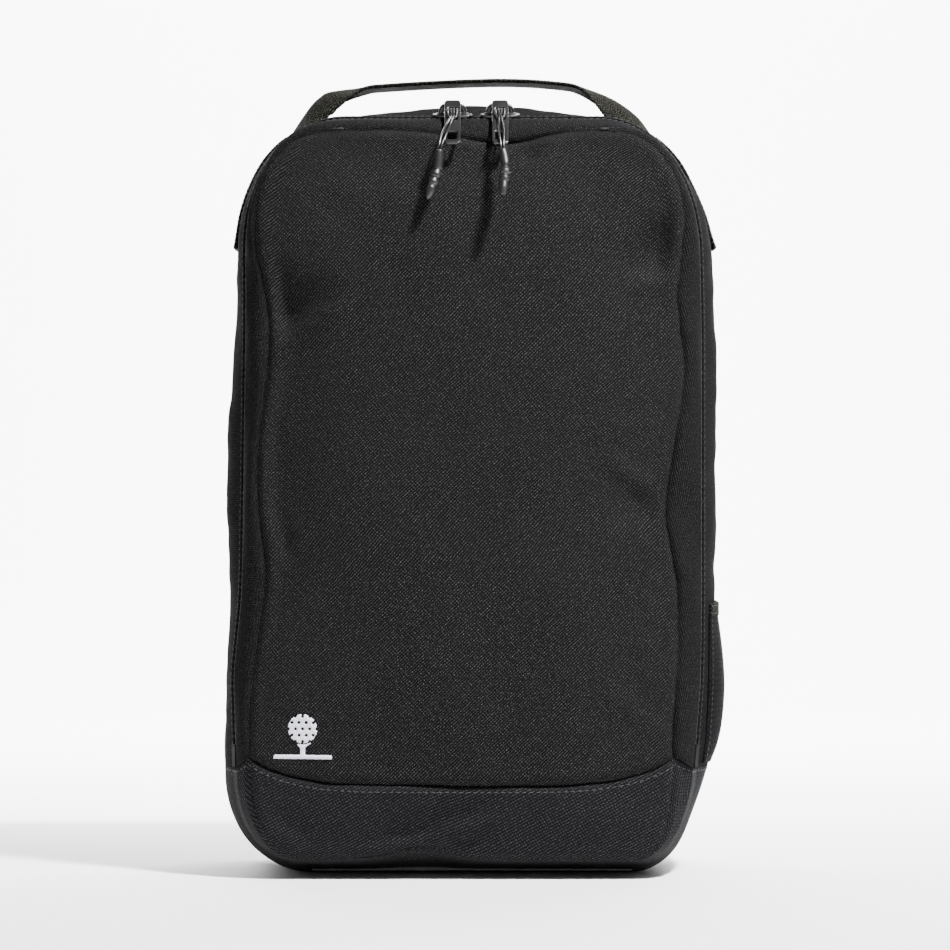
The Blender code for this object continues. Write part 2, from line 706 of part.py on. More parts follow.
# ---- Handle --------------------------------------------------------------------------------------
def make_handle():
    """The webbing loop, which swings about its two roots, and its ends sewn down the gusset."""
    near = HANDLE_Y - WEBBING_WIDTH / 2
    far = HANDLE_Y + WEBBING_WIDTH / 2
    proud = GAP + WEBBING_THICKNESS
    for name, side in (("handle_end_left", -1), ("handle_end_right", 1)):
        path = []
        for step in range(CORNER_STEPS + 1):
            angle = HANDLE_END_FOOT + (HANDLE_END_HEAD - HANDLE_END_FOOT) * step / CORNER_STEPS
            x = CORNER_X + (TOP_RADIUS_X + proud) * math.cos(angle)
            path.append((side * x, CORNER_Z + (TOP_RADIUS_Z + proud) * math.sin(angle)))
        path = path if side < 0 else path[::-1]
        sheet(name, [row_of(path, near), row_of(path, far)], WEBBING_THICKNESS, webbing())
    swing = pivot("handle_axis", (0.0, HANDLE_Y, HANDLE_PIVOT_Z))
    foot = HANDLE_PIVOT_Z - WEBBING_WIDTH / 2 + 0.0002
    root = HANDLE_SIDE_X
    top = HANDLE_TOP_Z
    corners = [(-root, foot)]
    corners += [(inset - root, top - drop) for inset, drop in HANDLE_LEFT_BEND]
    corners += [(HANDLE_PEAK_X, top)]
    corners += [(root - inset, top - drop) for inset, drop in HANDLE_RIGHT_BEND]
    corners += [(root + HANDLE_RIGHT_FOOT[0], foot + HANDLE_RIGHT_FOOT[1])]
    rows = ([], [])
    for point in smooth_path([(x, 0.0, z) for x, z in corners], 3):
        below = max(0.0, HANDLE_PIVOT_Z - point.z)
        half = math.sqrt(max(0.0, (WEBBING_WIDTH / 2) ** 2 - below**2))
        for row, y in zip(rows, (HANDLE_Y - half, HANDLE_Y + half)):
            row.append((point.x, y, point.z))
    sheet("handle_strap", rows, WEBBING_THICKNESS, webbing(), swing, offset=0.0)


# ---- Side pocket ---------------------------------------------------------------------------------
def pocket_point(share, z, proud):
    """A point over the right gusset, this share of the way across the pocket and this far out."""
    y = POCKET_FRONT_Y + (POCKET_REAR_Y - POCKET_FRONT_Y) * share
    return BAG_WIDTH / 2 - side_inset(y) + proud, y, z


def make_side_pocket():
    """The net pocket low on the right side and the elastic hem along its mouth."""
    columns = 10
    rows = []
    for step in range(9):
        height = step / 8
        row = []
        for column in range(columns + 1):
            share = column / columns
            across = 1 - abs(2 * share - 1) ** 3
            swell = POCKET_BULGE * math.sin(math.pi * height) + HEM_PROUD * height
            proud = 2 * GAP + POCKET_THICKNESS + across * swell
            row.append(pocket_point(share, POCKET_FOOT + POCKET_HEIGHT * height, proud))
        rows.append(row)
    sheet("side_pocket", rows, POCKET_THICKNESS, mesh_net())
    foot = POCKET_FOOT + POCKET_HEIGHT + GAP
    hem = []
    for z in (foot, foot + HEM_HEIGHT):
        hem.append([pocket_point(column / columns, z, 2 * GAP + HEM_THICKNESS
                                 + HEM_PROUD * (1 - abs(2 * column / columns - 1) ** 3) / 2)
                    for column in range(columns + 1)])
    sheet("side_pocket_hem", hem, HEM_THICKNESS, webbing())


def main():
    for old in list(bpy.data.objects):
        bpy.data.objects.remove(old)
    make_body()
    flap = make_flap()
    make_bindings(flap)
    make_zip(flap)
    make_sliders(flap)
    make_handle()
    make_side_pocket()


main()
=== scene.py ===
"""Dresses the golf shoe bag: cloth panels, zip, pulls, handle, net pocket and a soft studio.

Shapes are worked out in millimetres and turned to metres when a mesh is made. +Z is up, the
front panel faces -Y, and the viewer's right is +X, as in the CAD frame.
"""
import logging
import math
from collections.abc import Callable, Sequence
from dataclasses import dataclass, field
from enum import Enum

import bpy
import numpy as np
from mathutils import Matrix, Vector
from mathutils.bvhtree import BVHTree


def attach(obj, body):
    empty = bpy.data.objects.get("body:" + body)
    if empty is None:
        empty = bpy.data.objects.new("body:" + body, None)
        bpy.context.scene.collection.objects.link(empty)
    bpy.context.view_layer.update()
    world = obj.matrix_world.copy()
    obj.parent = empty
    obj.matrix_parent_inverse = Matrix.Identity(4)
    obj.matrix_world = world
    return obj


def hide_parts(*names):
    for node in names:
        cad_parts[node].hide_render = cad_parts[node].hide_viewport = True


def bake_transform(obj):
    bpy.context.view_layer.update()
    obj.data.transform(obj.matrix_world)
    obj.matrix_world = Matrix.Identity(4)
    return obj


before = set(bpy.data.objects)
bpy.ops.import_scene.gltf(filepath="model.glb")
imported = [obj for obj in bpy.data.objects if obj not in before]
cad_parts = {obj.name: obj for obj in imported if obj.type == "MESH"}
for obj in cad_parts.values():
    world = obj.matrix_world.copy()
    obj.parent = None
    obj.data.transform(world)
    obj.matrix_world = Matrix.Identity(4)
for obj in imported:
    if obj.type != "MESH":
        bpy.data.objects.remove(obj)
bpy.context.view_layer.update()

LOG = logging.getLogger("shoe_bag")
Marks = tuple[tuple[float, float], ...]
MM = 0.001

# ---- Sizes shared by every seam line, in millimetres ---------------------------------------------
HALF_WIDTH = 115.0
SHOULDER_Z = 353.0
CORNER_X = 59.0
CORNER_Z = 290.0
BASE_X = 77.0
BASE_Z = 46.0
BAND_Z = 50.0
FRONT_Y = -52.0
# The front end of the base band's seam is lifted, by this much and over this reach.
RIM_LIFT, RIM_REACH = 6.2, 5.0
# A slump of the cloth starts this far from the middle, low on the bag.
BASE_SLUMP_X = 60.0
# A point inside the bag: cloth faces away from it.
BAG_CENTRE = np.array((0.0, 0.0, 180.0))
# Thickness of the cloth and of the woven tapes.
CLOTH, TAPE = 0.9, 0.7
GUSSET_COLUMNS = 340
# Grids with more rows than this are whole faces. Their pinched corners take the normal of a point
# this many steps further in.
WIDE_GRID, SETTLED = 24, 4
# Shares of a line's arch: one side, one corner, the top.
SIDE_SHARE, CORNER_SHARE, TOP_SHARE = 0.306, 0.119, 0.150
# Shares of a line's cradle: the first drop, one corner, half of the floor; and where a lift ends.
DROP_SHARE, TURN_SHARE, FLOOR_SHARE, LIFT_SHARE = 0.04, 0.20, 0.26, 0.2
# Shares across the zip band at which the cloth lips end.
LIP_FRONT, LIP_REAR = 0.20, 0.80
# Heights at which side waves are tabled, and how widely their marks are smoothed.
HEIGHTS = np.arange(-40.0, 420.0)
WAVE_REACH, WAVE_SOFTNESS = 24, 8.0
# How far stitches stand outside the cloth.
PROUD = 0.05


class Slot(Enum):
    """The record's material slots."""

    CANVAS = "woven_polyester"
    BASE = "coarse_weave"
    NET = "mesh_net"
    LINING = "lining"
    TAPE = "zip_tape"
    COIL = "zip_coil"
    WEBBING = "webbing"
    METAL = "slider_metal"
    CORD = "pull_cord"
    RUBBER = "pull_rubber"
    EMBROIDERY = "embroidery"


class Side(Enum):
    """Left and right as the viewer sees them."""

    LEFT = -1
    RIGHT = 1

    @property
    def word(self) -> str:
        """The side's name in lower case."""
        return self.name.lower()


# ---- Materials -----------------------------------------------------------------------------------
def linear(hex_colour: str) -> tuple[float, float, float, float]:
    """Turns an sRGB hex colour to linear RGBA.

    Args:
        hex_colour: six hex digits.
    Returns:
        Linear red, green, blue and an alpha of one.
    """
    channels = [int(hex_colour[i:i + 2], 16) / 255 for i in (0, 2, 4)]
    bent = [c / 12.92 if c <= 0.04045 else ((c + 0.055) / 1.055) ** 2.4 for c in channels]
    return (*bent, 1.0)


def add_node(
    tree: bpy.types.NodeTree, kind: str, settings: dict | None = None, inputs: dict | None = None
) -> bpy.types.Node:
    """Adds a node to a tree.

    Args:
        tree: the tree to add to.
        kind: the node's type name.
        settings: the node's own properties.
        inputs: input sockets by name or number; a socket is linked and anything else is set.
    Returns:
        The node.
    """
    node = tree.nodes.new(kind)
    for name, value in (settings or {}).items():
        setattr(node, name, value)
    for name, value in (inputs or {}).items():
        if isinstance(value, bpy.types.NodeSocket):
            tree.links.new(value, node.inputs[name])
        else:
            node.inputs[name].default_value = value
    return node


def new_material(name: str, shader_values: dict) -> tuple[bpy.types.NodeTree, bpy.types.Node]:
    """Starts a material with one Principled shader.

    Args:
        name: the material's name.
        shader_values: constants for the shader's sockets.
    Returns:
        The node tree and the shader node.
    """
    made = bpy.data.materials.new(name)
    made.use_nodes = True
    tree = made.node_tree
    tree.nodes.clear()
    shader = add_node(tree, "ShaderNodeBsdfPrincipled", inputs=shader_values)
    add_node(tree, "ShaderNodeOutputMaterial", inputs={"Surface": shader.outputs[0]})
    return tree, shader


# How much the threads wander, in threads; how deep cross threads cut a line; the noise levels
# between which a painted glint lightens a thread's colour; and the painted highlight a line has
# without a glint.
WANDER, PICK_DEPTH = 0.5, 0.65
GLINT_FROM, GLINT_TO, GLINT_LEAST = 0.46, 0.68, 0.22
# Noise scales per metre: crumples of about 11 mm in cloth, wear of about 6 mm on hard pieces.
CRUMPLE_SCALE, WEAR_SCALE = 90.0, 180.0


@dataclass(frozen=True)
class WovenCloth:
    """A woven cloth with a diagonal line, on the piece's own UV map, laid out in metres."""

    name: str
    dark: str
    light: str
    line_mm: float
    # painted highlight: how far painted glints lighten a thread's colour towards the light tone
    painted_glint: float
    roughness: float
    relief_mm: float
    gloss: float = 0.22
    across: float = 0.5
    slant: float = 45.0
    crumple_mm: float = 0.2

    def build(self) -> bpy.types.Material:
        """Makes the material: raised slanting lines cut by cross threads, with their highlights and
        single glints painted into the base colour.
        """
        tree, shader = new_material(self.name, {
            "Roughness": self.roughness, "Specular IOR Level": self.gloss})
        uv = add_node(tree, "ShaderNodeUVMap").outputs[0]
        scale = 1000.0 / self.line_mm
        turned_uv = add_node(tree, "ShaderNodeMapping", inputs={
            "Vector": uv, "Rotation": (0.0, 0.0, math.radians(self.slant))}).outputs[0]
        threads = add_node(tree, "ShaderNodeVectorMath", {"operation": "MULTIPLY"}, {
            0: turned_uv, 1: (scale, scale * self.across, 1.0)}).outputs[0]
        wobble = add_node(tree, "ShaderNodeTexNoise", inputs={
            "Vector": threads, "Scale": 0.5, "Detail": 2.0}).outputs[0]
        parts = add_node(tree, "ShaderNodeSeparateXYZ", inputs={0: threads}).outputs
        waves = []
        for axis in range(2):
            shifted = add_node(tree, "ShaderNodeMath", {"operation": "MULTIPLY_ADD"}, {
                0: wobble, 1: WANDER, 2: parts[axis]}).outputs[0]
            turned = add_node(tree, "ShaderNodeMath", {"operation": "MULTIPLY"}, {
                0: shifted, 1: 2 * math.pi}).outputs[0]
            wave = add_node(tree, "ShaderNodeMath", {"operation": "SINE"}, {
                0: turned}).outputs[0]
            waves.append(add_node(tree, "ShaderNodeMapRange", inputs={
                "Value": wave, "From Min": -1.0, "From Max": 1.0}).outputs[0])
        picks = add_node(tree, "ShaderNodeMath", {"operation": "MULTIPLY_ADD"}, {
            0: waves[1], 1: PICK_DEPTH, 2: 1.0 - PICK_DEPTH}).outputs[0]
        lines = add_node(tree, "ShaderNodeMath", {"operation": "MULTIPLY"}, {
            0: waves[0], 1: picks}).outputs[0]
        # painted highlight: noise glints on the raised lines mix the colour towards the light tone,
        # as if lit; the slanting line pattern itself is the weave
        glint = add_node(tree, "ShaderNodeTexNoise", inputs={
            "Vector": threads, "Scale": 1.5, "Detail": 1.0}).outputs[0]
        spots = add_node(tree, "ShaderNodeMapRange", inputs={
            "Value": glint, "From Min": GLINT_FROM, "From Max": GLINT_TO,
            "To Min": GLINT_LEAST, "To Max": GLINT_LEAST + self.painted_glint}).outputs[0]
        share = add_node(tree, "ShaderNodeMath", {"operation": "MULTIPLY", "use_clamp": True}, {
            0: spots, 1: lines}).outputs[0]
        colour = add_node(tree, "ShaderNodeMix", {"data_type": "RGBA"}, {
            0: share, 6: linear(self.dark), 7: linear(self.light)}).outputs[2]
        tree.links.new(colour, shader.inputs["Base Color"])
        crumple = add_node(tree, "ShaderNodeTexNoise", inputs={
            "Vector": uv, "Scale": CRUMPLE_SCALE, "Detail": 2.0}).outputs[0]
        soft = add_node(tree, "ShaderNodeBump", inputs={
            "Height": crumple, "Strength": 0.5, "Distance": self.crumple_mm * MM}).outputs[0]
        fine = add_node(tree, "ShaderNodeBump", inputs={
            "Height": lines, "Strength": 1.0, "Distance": self.relief_mm * MM,
            "Normal": soft}).outputs[0]
        tree.links.new(fine, shader.inputs["Normal"])
        return bpy.data.materials[self.name]


@dataclass(frozen=True)
class Knit:
    """An open knit: rows of small dark eyes between raised stitches, on the piece's UV map."""

    name: str
    yarn: str
    eye: str
    eye_mm: float

    def build(self) -> bpy.types.Material:
        """Makes the material from a cell pattern the size of the knit's eyes."""
        tree, shader = new_material(self.name, {
            "Roughness": 0.85, "Specular IOR Level": 0.05})
        uv = add_node(tree, "ShaderNodeUVMap").outputs[0]
        scaled = add_node(tree, "ShaderNodeMapping", inputs={
            "Vector": uv, "Scale": (1000 / self.eye_mm, 700 / self.eye_mm, 1.0)}).outputs[0]
        cells = add_node(tree, "ShaderNodeTexVoronoi", inputs={
            "Vector": scaled, "Scale": 1.0, "Randomness": 0.25}).outputs[0]
        yarn = add_node(tree, "ShaderNodeMapRange", inputs={
            "Value": cells, "From Min": 0.22, "From Max": 0.42}).outputs[0]
        colour = add_node(tree, "ShaderNodeMix", {"data_type": "RGBA"}, {
            0: yarn, 6: linear(self.eye), 7: linear(self.yarn)}).outputs[2]
        tree.links.new(colour, shader.inputs["Base Color"])
        raised = add_node(tree, "ShaderNodeBump", inputs={
            "Height": yarn, "Strength": 0.9, "Distance": 0.3 * MM}).outputs[0]
        tree.links.new(raised, shader.inputs["Normal"])
        return bpy.data.materials[self.name]


@dataclass(frozen=True)
class Moulded:
    """A moulded or cast surface: one colour, faint mottling and a fine grain."""

    name: str
    dark: str
    light: str
    roughness: float
    grain_mm: float
    relief_mm: float
    coat: float = 0.0

    def build(self) -> bpy.types.Material:
        """Makes the material with grain in real millimetres on Object coordinates."""
        tree, shader = new_material(self.name, {
            "Coat Weight": self.coat, "Coat Roughness": 0.15})
        place = add_node(tree, "ShaderNodeTexCoord").outputs["Object"]
        grain = add_node(tree, "ShaderNodeTexNoise", inputs={
            "Vector": place, "Scale": 1000.0 / self.grain_mm, "Detail": 2.0}).outputs[0]
        wear = add_node(tree, "ShaderNodeTexNoise", inputs={
            "Vector": place, "Scale": WEAR_SCALE, "Detail": 3.0}).outputs[0]
        colour = add_node(tree, "ShaderNodeMix", {"data_type": "RGBA"}, {
            0: wear, 6: linear(self.dark), 7: linear(self.light)}).outputs[2]
        tree.links.new(colour, shader.inputs["Base Color"])
        polish = add_node(tree, "ShaderNodeMapRange", inputs={
            "Value": wear, "To Min": self.roughness * 0.8,
            "To Max": self.roughness * 1.2}).outputs[0]
        tree.links.new(polish, shader.inputs["Roughness"])
        bump = add_node(tree, "ShaderNodeBump", inputs={
            "Height": grain, "Strength": 0.5, "Distance": self.relief_mm * MM}).outputs[0]
        tree.links.new(bump, shader.inputs["Normal"])
        return bpy.data.materials[self.name]


class Wardrobe:
    """Every finish of the bag, each made once."""

    def __init__(self) -> None:
        """Makes the finishes."""
        # 600-denier polyester canvas in a broken twill: near-black, a slanting line, bright glints
        # painted into its colour as highlights
        self.canvas = WovenCloth(
            "polyester_canvas", "080808", "424243", line_mm=1.13, painted_glint=0.85, roughness=0.85,
            relief_mm=0.34, gloss=0.03, across=0.88)
        # the same canvas cut on the straight for the gussets: its line runs along the strip
        self.side = WovenCloth(
            "polyester_canvas_side", "050505", "363637", line_mm=0.9, painted_glint=1.0, roughness=0.9,
            relief_mm=0.12, gloss=0.02, across=0.9, slant=76.0)
        # 1680-denier ballistic polyester: thicker, shinier threads in a visible basket, their
        # highlights partly painted into the colour
        self.base = WovenCloth(
            "ballistic_polyester", "080809", "434345", line_mm=1.35, painted_glint=0.6, roughness=0.8,
            relief_mm=0.2, gloss=0.04, across=1.0, slant=62.0)
        # 210-denier nylon lining: thin, smooth and slightly lighter
        self.lining = WovenCloth(
            "nylon_lining", "161619", "2c2c30", line_mm=0.5, painted_glint=0.1, roughness=0.6,
            relief_mm=0.05, gloss=0.12)
        # woven polyester zip tape: flat and dense, so it reads as a plain dark line
        self.tape = WovenCloth(
            "zip_tape_weave", "070708", "161618", line_mm=0.6, painted_glint=0.1, roughness=0.8,
            relief_mm=0.06, gloss=0.04)
        # polypropylene webbing: heavy ribs with a slight olive cast, the ribs' bright dots painted
        # into the colour as highlights
        self.webbing = WovenCloth(
            "polypropylene_webbing", "040403", "3e3e38", line_mm=0.8, painted_glint=1.6, roughness=0.8,
            relief_mm=0.2, gloss=0.03, across=0.6, slant=20.0)
        # warp-knitted polyester net: small dark eyes
        self.net = Knit("warp_knit_net", "101011", "020202", eye_mm=1.7)
        # nylon monofilament coil: smooth, so each tooth takes a small highlight
        self.coil = Moulded(
            "nylon_coil", "0a0a0b", "171718", roughness=0.35, grain_mm=0.4,
            relief_mm=0.02)
        # HDPE stiffener board: waxy, finely pebbled
        self.board = Moulded(
            "hdpe_board", "161618", "222225", roughness=0.5, grain_mm=0.8,
            relief_mm=0.05)
        # zinc casting with baked black enamel: near-black with small sharp highlights
        self.metal = Moulded(
            "black_enamelled_zinc", "040405", "0b0b0c", roughness=0.3, grain_mm=0.6,
            relief_mm=0.01, coat=0.3)
        # braided polyester cord: black, slick, with a bright line along each strand
        self.cord = Moulded(
            "braided_cord", "060607", "0e0e0f", roughness=0.34, grain_mm=0.5,
            relief_mm=0.05, coat=0.15)
        # injection-moulded soft PVC: black with a broad sheen
        self.rubber = Moulded(
            "soft_pvc", "08080a", "121214", roughness=0.45, grain_mm=0.5,
            relief_mm=0.03, coat=0.1)
        # bonded nylon sewing thread: a touch lighter than the cloth
        self.thread = Moulded(
            "sewing_thread", "050506", "111113", roughness=0.6, grain_mm=0.3,
            relief_mm=0.03)
        # rayon embroidery thread: pale grey with a silky light
        self.embroidery = Moulded(
            "rayon_thread", "c4c3d2", "e6e5f0", roughness=0.38, grain_mm=0.3,
            relief_mm=0.03)
        # painted studio floor: matt and pale
        self.floor = Moulded(
            "studio_paint", "f8f8f8", "fcfcfc", roughness=0.9, grain_mm=3.0,
            relief_mm=0.02)
        for name, finish in list(vars(self).items()):
            setattr(self, name, finish.build())


# ---- Mesh helpers --------------------------------------------------------------------------------
def linked(name: str, data: bpy.types.ID) -> bpy.types.Object:
    """Puts a new object that shows this data into the scene."""
    made = bpy.data.objects.new(name, data)
    bpy.context.scene.collection.objects.link(made)
    return made


def plain_mesh(holder: bpy.types.Object) -> bpy.types.Mesh:
    """The mesh that an object comes to, its modifiers applied; the object is removed."""
    seen = holder.evaluated_get(bpy.context.evaluated_depsgraph_get())
    made = bpy.data.meshes.new_from_object(seen)
    bpy.data.objects.remove(holder)
    return made


def points_of(mesh: bpy.types.Mesh) -> np.ndarray:
    """A mesh's points in millimetres."""
    return np.array([v.co for v in mesh.vertices]) / MM


def set_points(mesh: bpy.types.Mesh, points: np.ndarray) -> None:
    """Moves a mesh's points to places in millimetres."""
    mesh.vertices.foreach_set("co", (points * MM).astype(np.float32).ravel())
    mesh.update()


def unit(vectors: np.ndarray) -> np.ndarray:
    """The vectors along the last axis, each at length one."""
    return vectors / np.maximum(np.linalg.norm(vectors, axis=-1, keepdims=True), 1e-9)


def path_run(path: np.ndarray) -> np.ndarray:
    """Running length at each point of a path, from zero."""
    return np.concatenate([[0], np.cumsum(np.linalg.norm(np.diff(path, axis=0), axis=1))])


def quads(rows: int, columns: int, wide: int) -> list:
    """Faces over the first squares of a grid whose rows hold `wide` points."""
    return [(r * wide + c, r * wide + c + 1, (r + 1) * wide + c + 1, (r + 1) * wide + c)
            for r in range(rows) for c in range(columns)]


def ring_faces(rings: int, sides: int) -> list:
    """Faces of a tube of rings, closed by a face at each end."""
    faces = [tuple(range(sides))[::-1]]
    for low in range(0, (rings - 1) * sides, sides):
        for side in range(sides):
            after = (side + 1) % sides
            faces.append((low + side, low + after, low + sides + after, low + sides + side))
    return faces + [tuple(range((rings - 1) * sides, rings * sides))]


def new_object(
    name: str, points: np.ndarray, faces: list, finishes: Sequence[bpy.types.Material]
) -> bpy.types.Object:
    """Makes an object at the origin from points in millimetres.

    Args:
        name: the object's name.
        points: an array of points.
        faces: tuples of point numbers.
        finishes: the materials, in slot order.
    Returns:
        The object.
    """
    mesh = bpy.data.meshes.new(name)
    mesh.from_pydata((np.asarray(points) * MM).tolist(), [], faces)
    made = linked(name, mesh)
    for finish in finishes:
        mesh.materials.append(finish)
    mesh.shade_smooth()
    return made


def grid_normals(grid: np.ndarray) -> np.ndarray:
    """Unit normals over a grid of points, pointing away from the bag's centre.

    Args:
        grid: rows by columns of points.
    Returns:
        An array of the grid's shape.
    """
    made = unit(np.cross(np.gradient(grid, axis=1), np.gradient(grid, axis=0)))
    facing = np.sum(made * (grid - BAG_CENTRE))
    if min(grid.shape[:2]) > WIDE_GRID:
        for row, inner_row in ((0, SETTLED), (-1, -SETTLED - 1)):
            made[row, :SETTLED] = made[inner_row, SETTLED]
            made[row, -SETTLED:] = made[inner_row, -SETTLED - 1]
    return made if facing > 0 else -made


def lengths_over(grid: np.ndarray, axis: int) -> np.ndarray:
    """Running length along one axis of a grid, in metres, zero at its middle.

    Args:
        grid: rows by columns of points.
        axis: 0 to run over rows, 1 over columns.
    Returns:
        A length for each point.
    """
    steps = np.linalg.norm(np.diff(grid, axis=axis), axis=2)
    total = np.concatenate([np.zeros_like(np.take(steps, [0], axis=axis)),
                            np.cumsum(steps, axis=axis)], axis=axis)
    middle = np.take(total, [total.shape[axis] // 2], axis=axis)
    return (total - middle) * MM


def cloth_shell(
    name: str,
    grid: np.ndarray,
    outer: bpy.types.Material,
    inner: bpy.types.Material,
    thickness: float = CLOTH,
) -> bpy.types.Object:
    """A closed shell of cloth whose outer face lies on a grid.

    Args:
        name: the object's name.
        grid: rows by columns of points in millimetres.
        outer: the finish of the outer face and the edges.
        inner: the finish of the inner face.
        thickness: the cloth's thickness in millimetres.
    Returns:
        The object, with a UV map in metres along the cloth.
    """
    rows, columns = grid.shape[:2]
    normals = grid_normals(grid)
    under = grid - normals * thickness
    points = np.concatenate([grid.reshape(-1, 3), under.reshape(-1, 3)])
    count = rows * columns
    faces = quads(rows - 1, columns - 1, columns)
    cross = np.cross(np.diff(grid, axis=1)[:-1], np.diff(grid, axis=0)[:, :-1])
    if np.sum(cross * normals[:-1, :-1]) < 0:
        faces = [face[::-1] for face in faces]
    shell = faces + [tuple(count + i for i in face[::-1]) for face in faces]
    edge_use: dict[tuple[int, int], tuple[int, int]] = {}
    for face in faces:
        for start, end in zip(face, face[1:] + face[:1]):
            key = (min(start, end), max(start, end))
            if key in edge_use:
                edge_use[key] = (-1, -1)
            else:
                edge_use[key] = (start, end)
    for start, end in edge_use.values():
        if start >= 0:
            shell.append((end, start, count + start, count + end))
    made = new_object(name, points, shell, (outer, inner))
    index = np.zeros(len(shell), np.int32)
    index[len(faces):2 * len(faces)] = 1
    made.data.polygons.foreach_set("material_index", index)
    uv = np.stack([lengths_over(grid, 1), lengths_over(grid, 0)], axis=2).reshape(-1, 2)
    write_uv(made.data, np.concatenate([uv, uv]))
    return made


def write_uv(mesh: bpy.types.Mesh, per_point: np.ndarray) -> None:
    """Writes one UV place for each point of a mesh.

    Args:
        mesh: the mesh.
        per_point: a pair for each point.
    """
    layer = mesh.uv_layers.new(name="cloth")
    corners = np.empty(len(mesh.loops), np.int32)
    mesh.loops.foreach_get("vertex_index", corners)
    layer.data.foreach_set("uv", per_point[corners].astype(np.float32).ravel())


def tube(
    name: str, path: np.ndarray, radius: float | np.ndarray, finish: bpy.types.Material,
    sides: int = 12
) -> bpy.types.Object:
    """A closed round tube along a path.

    Args:
        name: the object's name.
        path: points in millimetres.
        radius: one radius, or one for each point.
        finish: the material.
        sides: points round the tube.
    Returns:
        The object.
    """
    tangents = unit(np.gradient(path, axis=0))
    # any direction will do here, as long as no path starts along it
    across = np.cross(tangents[0], (0.31, 0.52, 0.79))
    radii = np.broadcast_to(radius, len(path))
    points = []
    for place, tangent, wide in zip(path, tangents, radii):
        across = unit(across - tangent * np.dot(across, tangent))
        other = np.cross(tangent, across)
        for side in range(sides):
            angle = 2 * math.pi * side / sides
            points.append(place + wide * (math.cos(angle) * across + math.sin(angle) * other))
    return new_object(name, np.array(points), ring_faces(len(path), sides), (finish,))


def merged(name: str, pieces: Sequence[bpy.types.Object]) -> bpy.types.Object:
    """Joins objects that share one finish into one mesh.

    Args:
        name: the joined object's name.
        pieces: the objects, which are removed.
    Returns:
        The joined object.
    """
    points: list = []
    faces: list = []
    for piece in pieces:
        shift = len(points)
        points += points_of(piece.data).tolist()
        faces += [tuple(shift + i for i in p.vertices) for p in piece.data.polygons]
    finish = pieces[0].data.materials[0]
    for piece in pieces:
        bpy.data.objects.remove(piece)
    return new_object(name, np.array(points), faces, (finish,))


def catmull(points: Sequence[Sequence[float]], steps: int) -> np.ndarray:
    """A smooth path through points.

    Args:
        points: the points to pass through.
        steps: points made for each stretch.
    Returns:
        The path.
    """
    line = np.array(points, float)
    line = np.concatenate([[2 * line[0] - line[1]], line, [2 * line[-1] - line[-2]]])
    made = []
    for a, b, c, d in zip(line, line[1:], line[2:], line[3:]):
        for step in range(steps):
            t = step / steps
            made.append(0.5 * (2 * b + (c - a) * t + (2 * a - 5 * b + 4 * c - d) * t**2
                               + (3 * b - a - 3 * c + d) * t**3))
    return np.array(made + [line[-2]])


def evened(path: np.ndarray, spacing: float) -> np.ndarray:
    """The same path with points at an even spacing.

    Args:
        path: points in millimetres.
        spacing: the distance wanted between points.
    Returns:
        The new path.
    """
    reach = path_run(path)
    places = np.linspace(0, reach[-1], max(2, int(round(reach[-1] / spacing)) + 1))
    return np.stack([np.interp(places, reach, path[:, axis]) for axis in range(3)], axis=1)


def smoothstep(value: np.ndarray | float) -> np.ndarray:
    """Zero below 0, one above 1 and smooth between."""
    t = np.clip(value, 0, 1)
    return t * t * (3 - 2 * t)


def ripple(u: np.ndarray, v: np.ndarray, wavelength: float, seed: int) -> np.ndarray:
    """A smooth random field with a height of about one.

    Args:
        u: first coordinate in millimetres.
        v: second coordinate in millimetres.
        wavelength: the typical distance between crests.
        seed: chooses the field.
    Returns:
        A height for each point.
    """
    draw = np.random.default_rng(seed)
    total = np.zeros(np.broadcast(u, v).shape)
    waves = 9
    for _ in range(waves):
        angle = draw.uniform(0, math.pi)
        pitch = wavelength * draw.uniform(0.7, 1.6)
        phase = draw.uniform(0, 2 * math.pi)
        along = u * math.cos(angle) + v * math.sin(angle)
        total = total + np.cos(2 * math.pi * along / pitch + phase)
    return total / math.sqrt(waves)


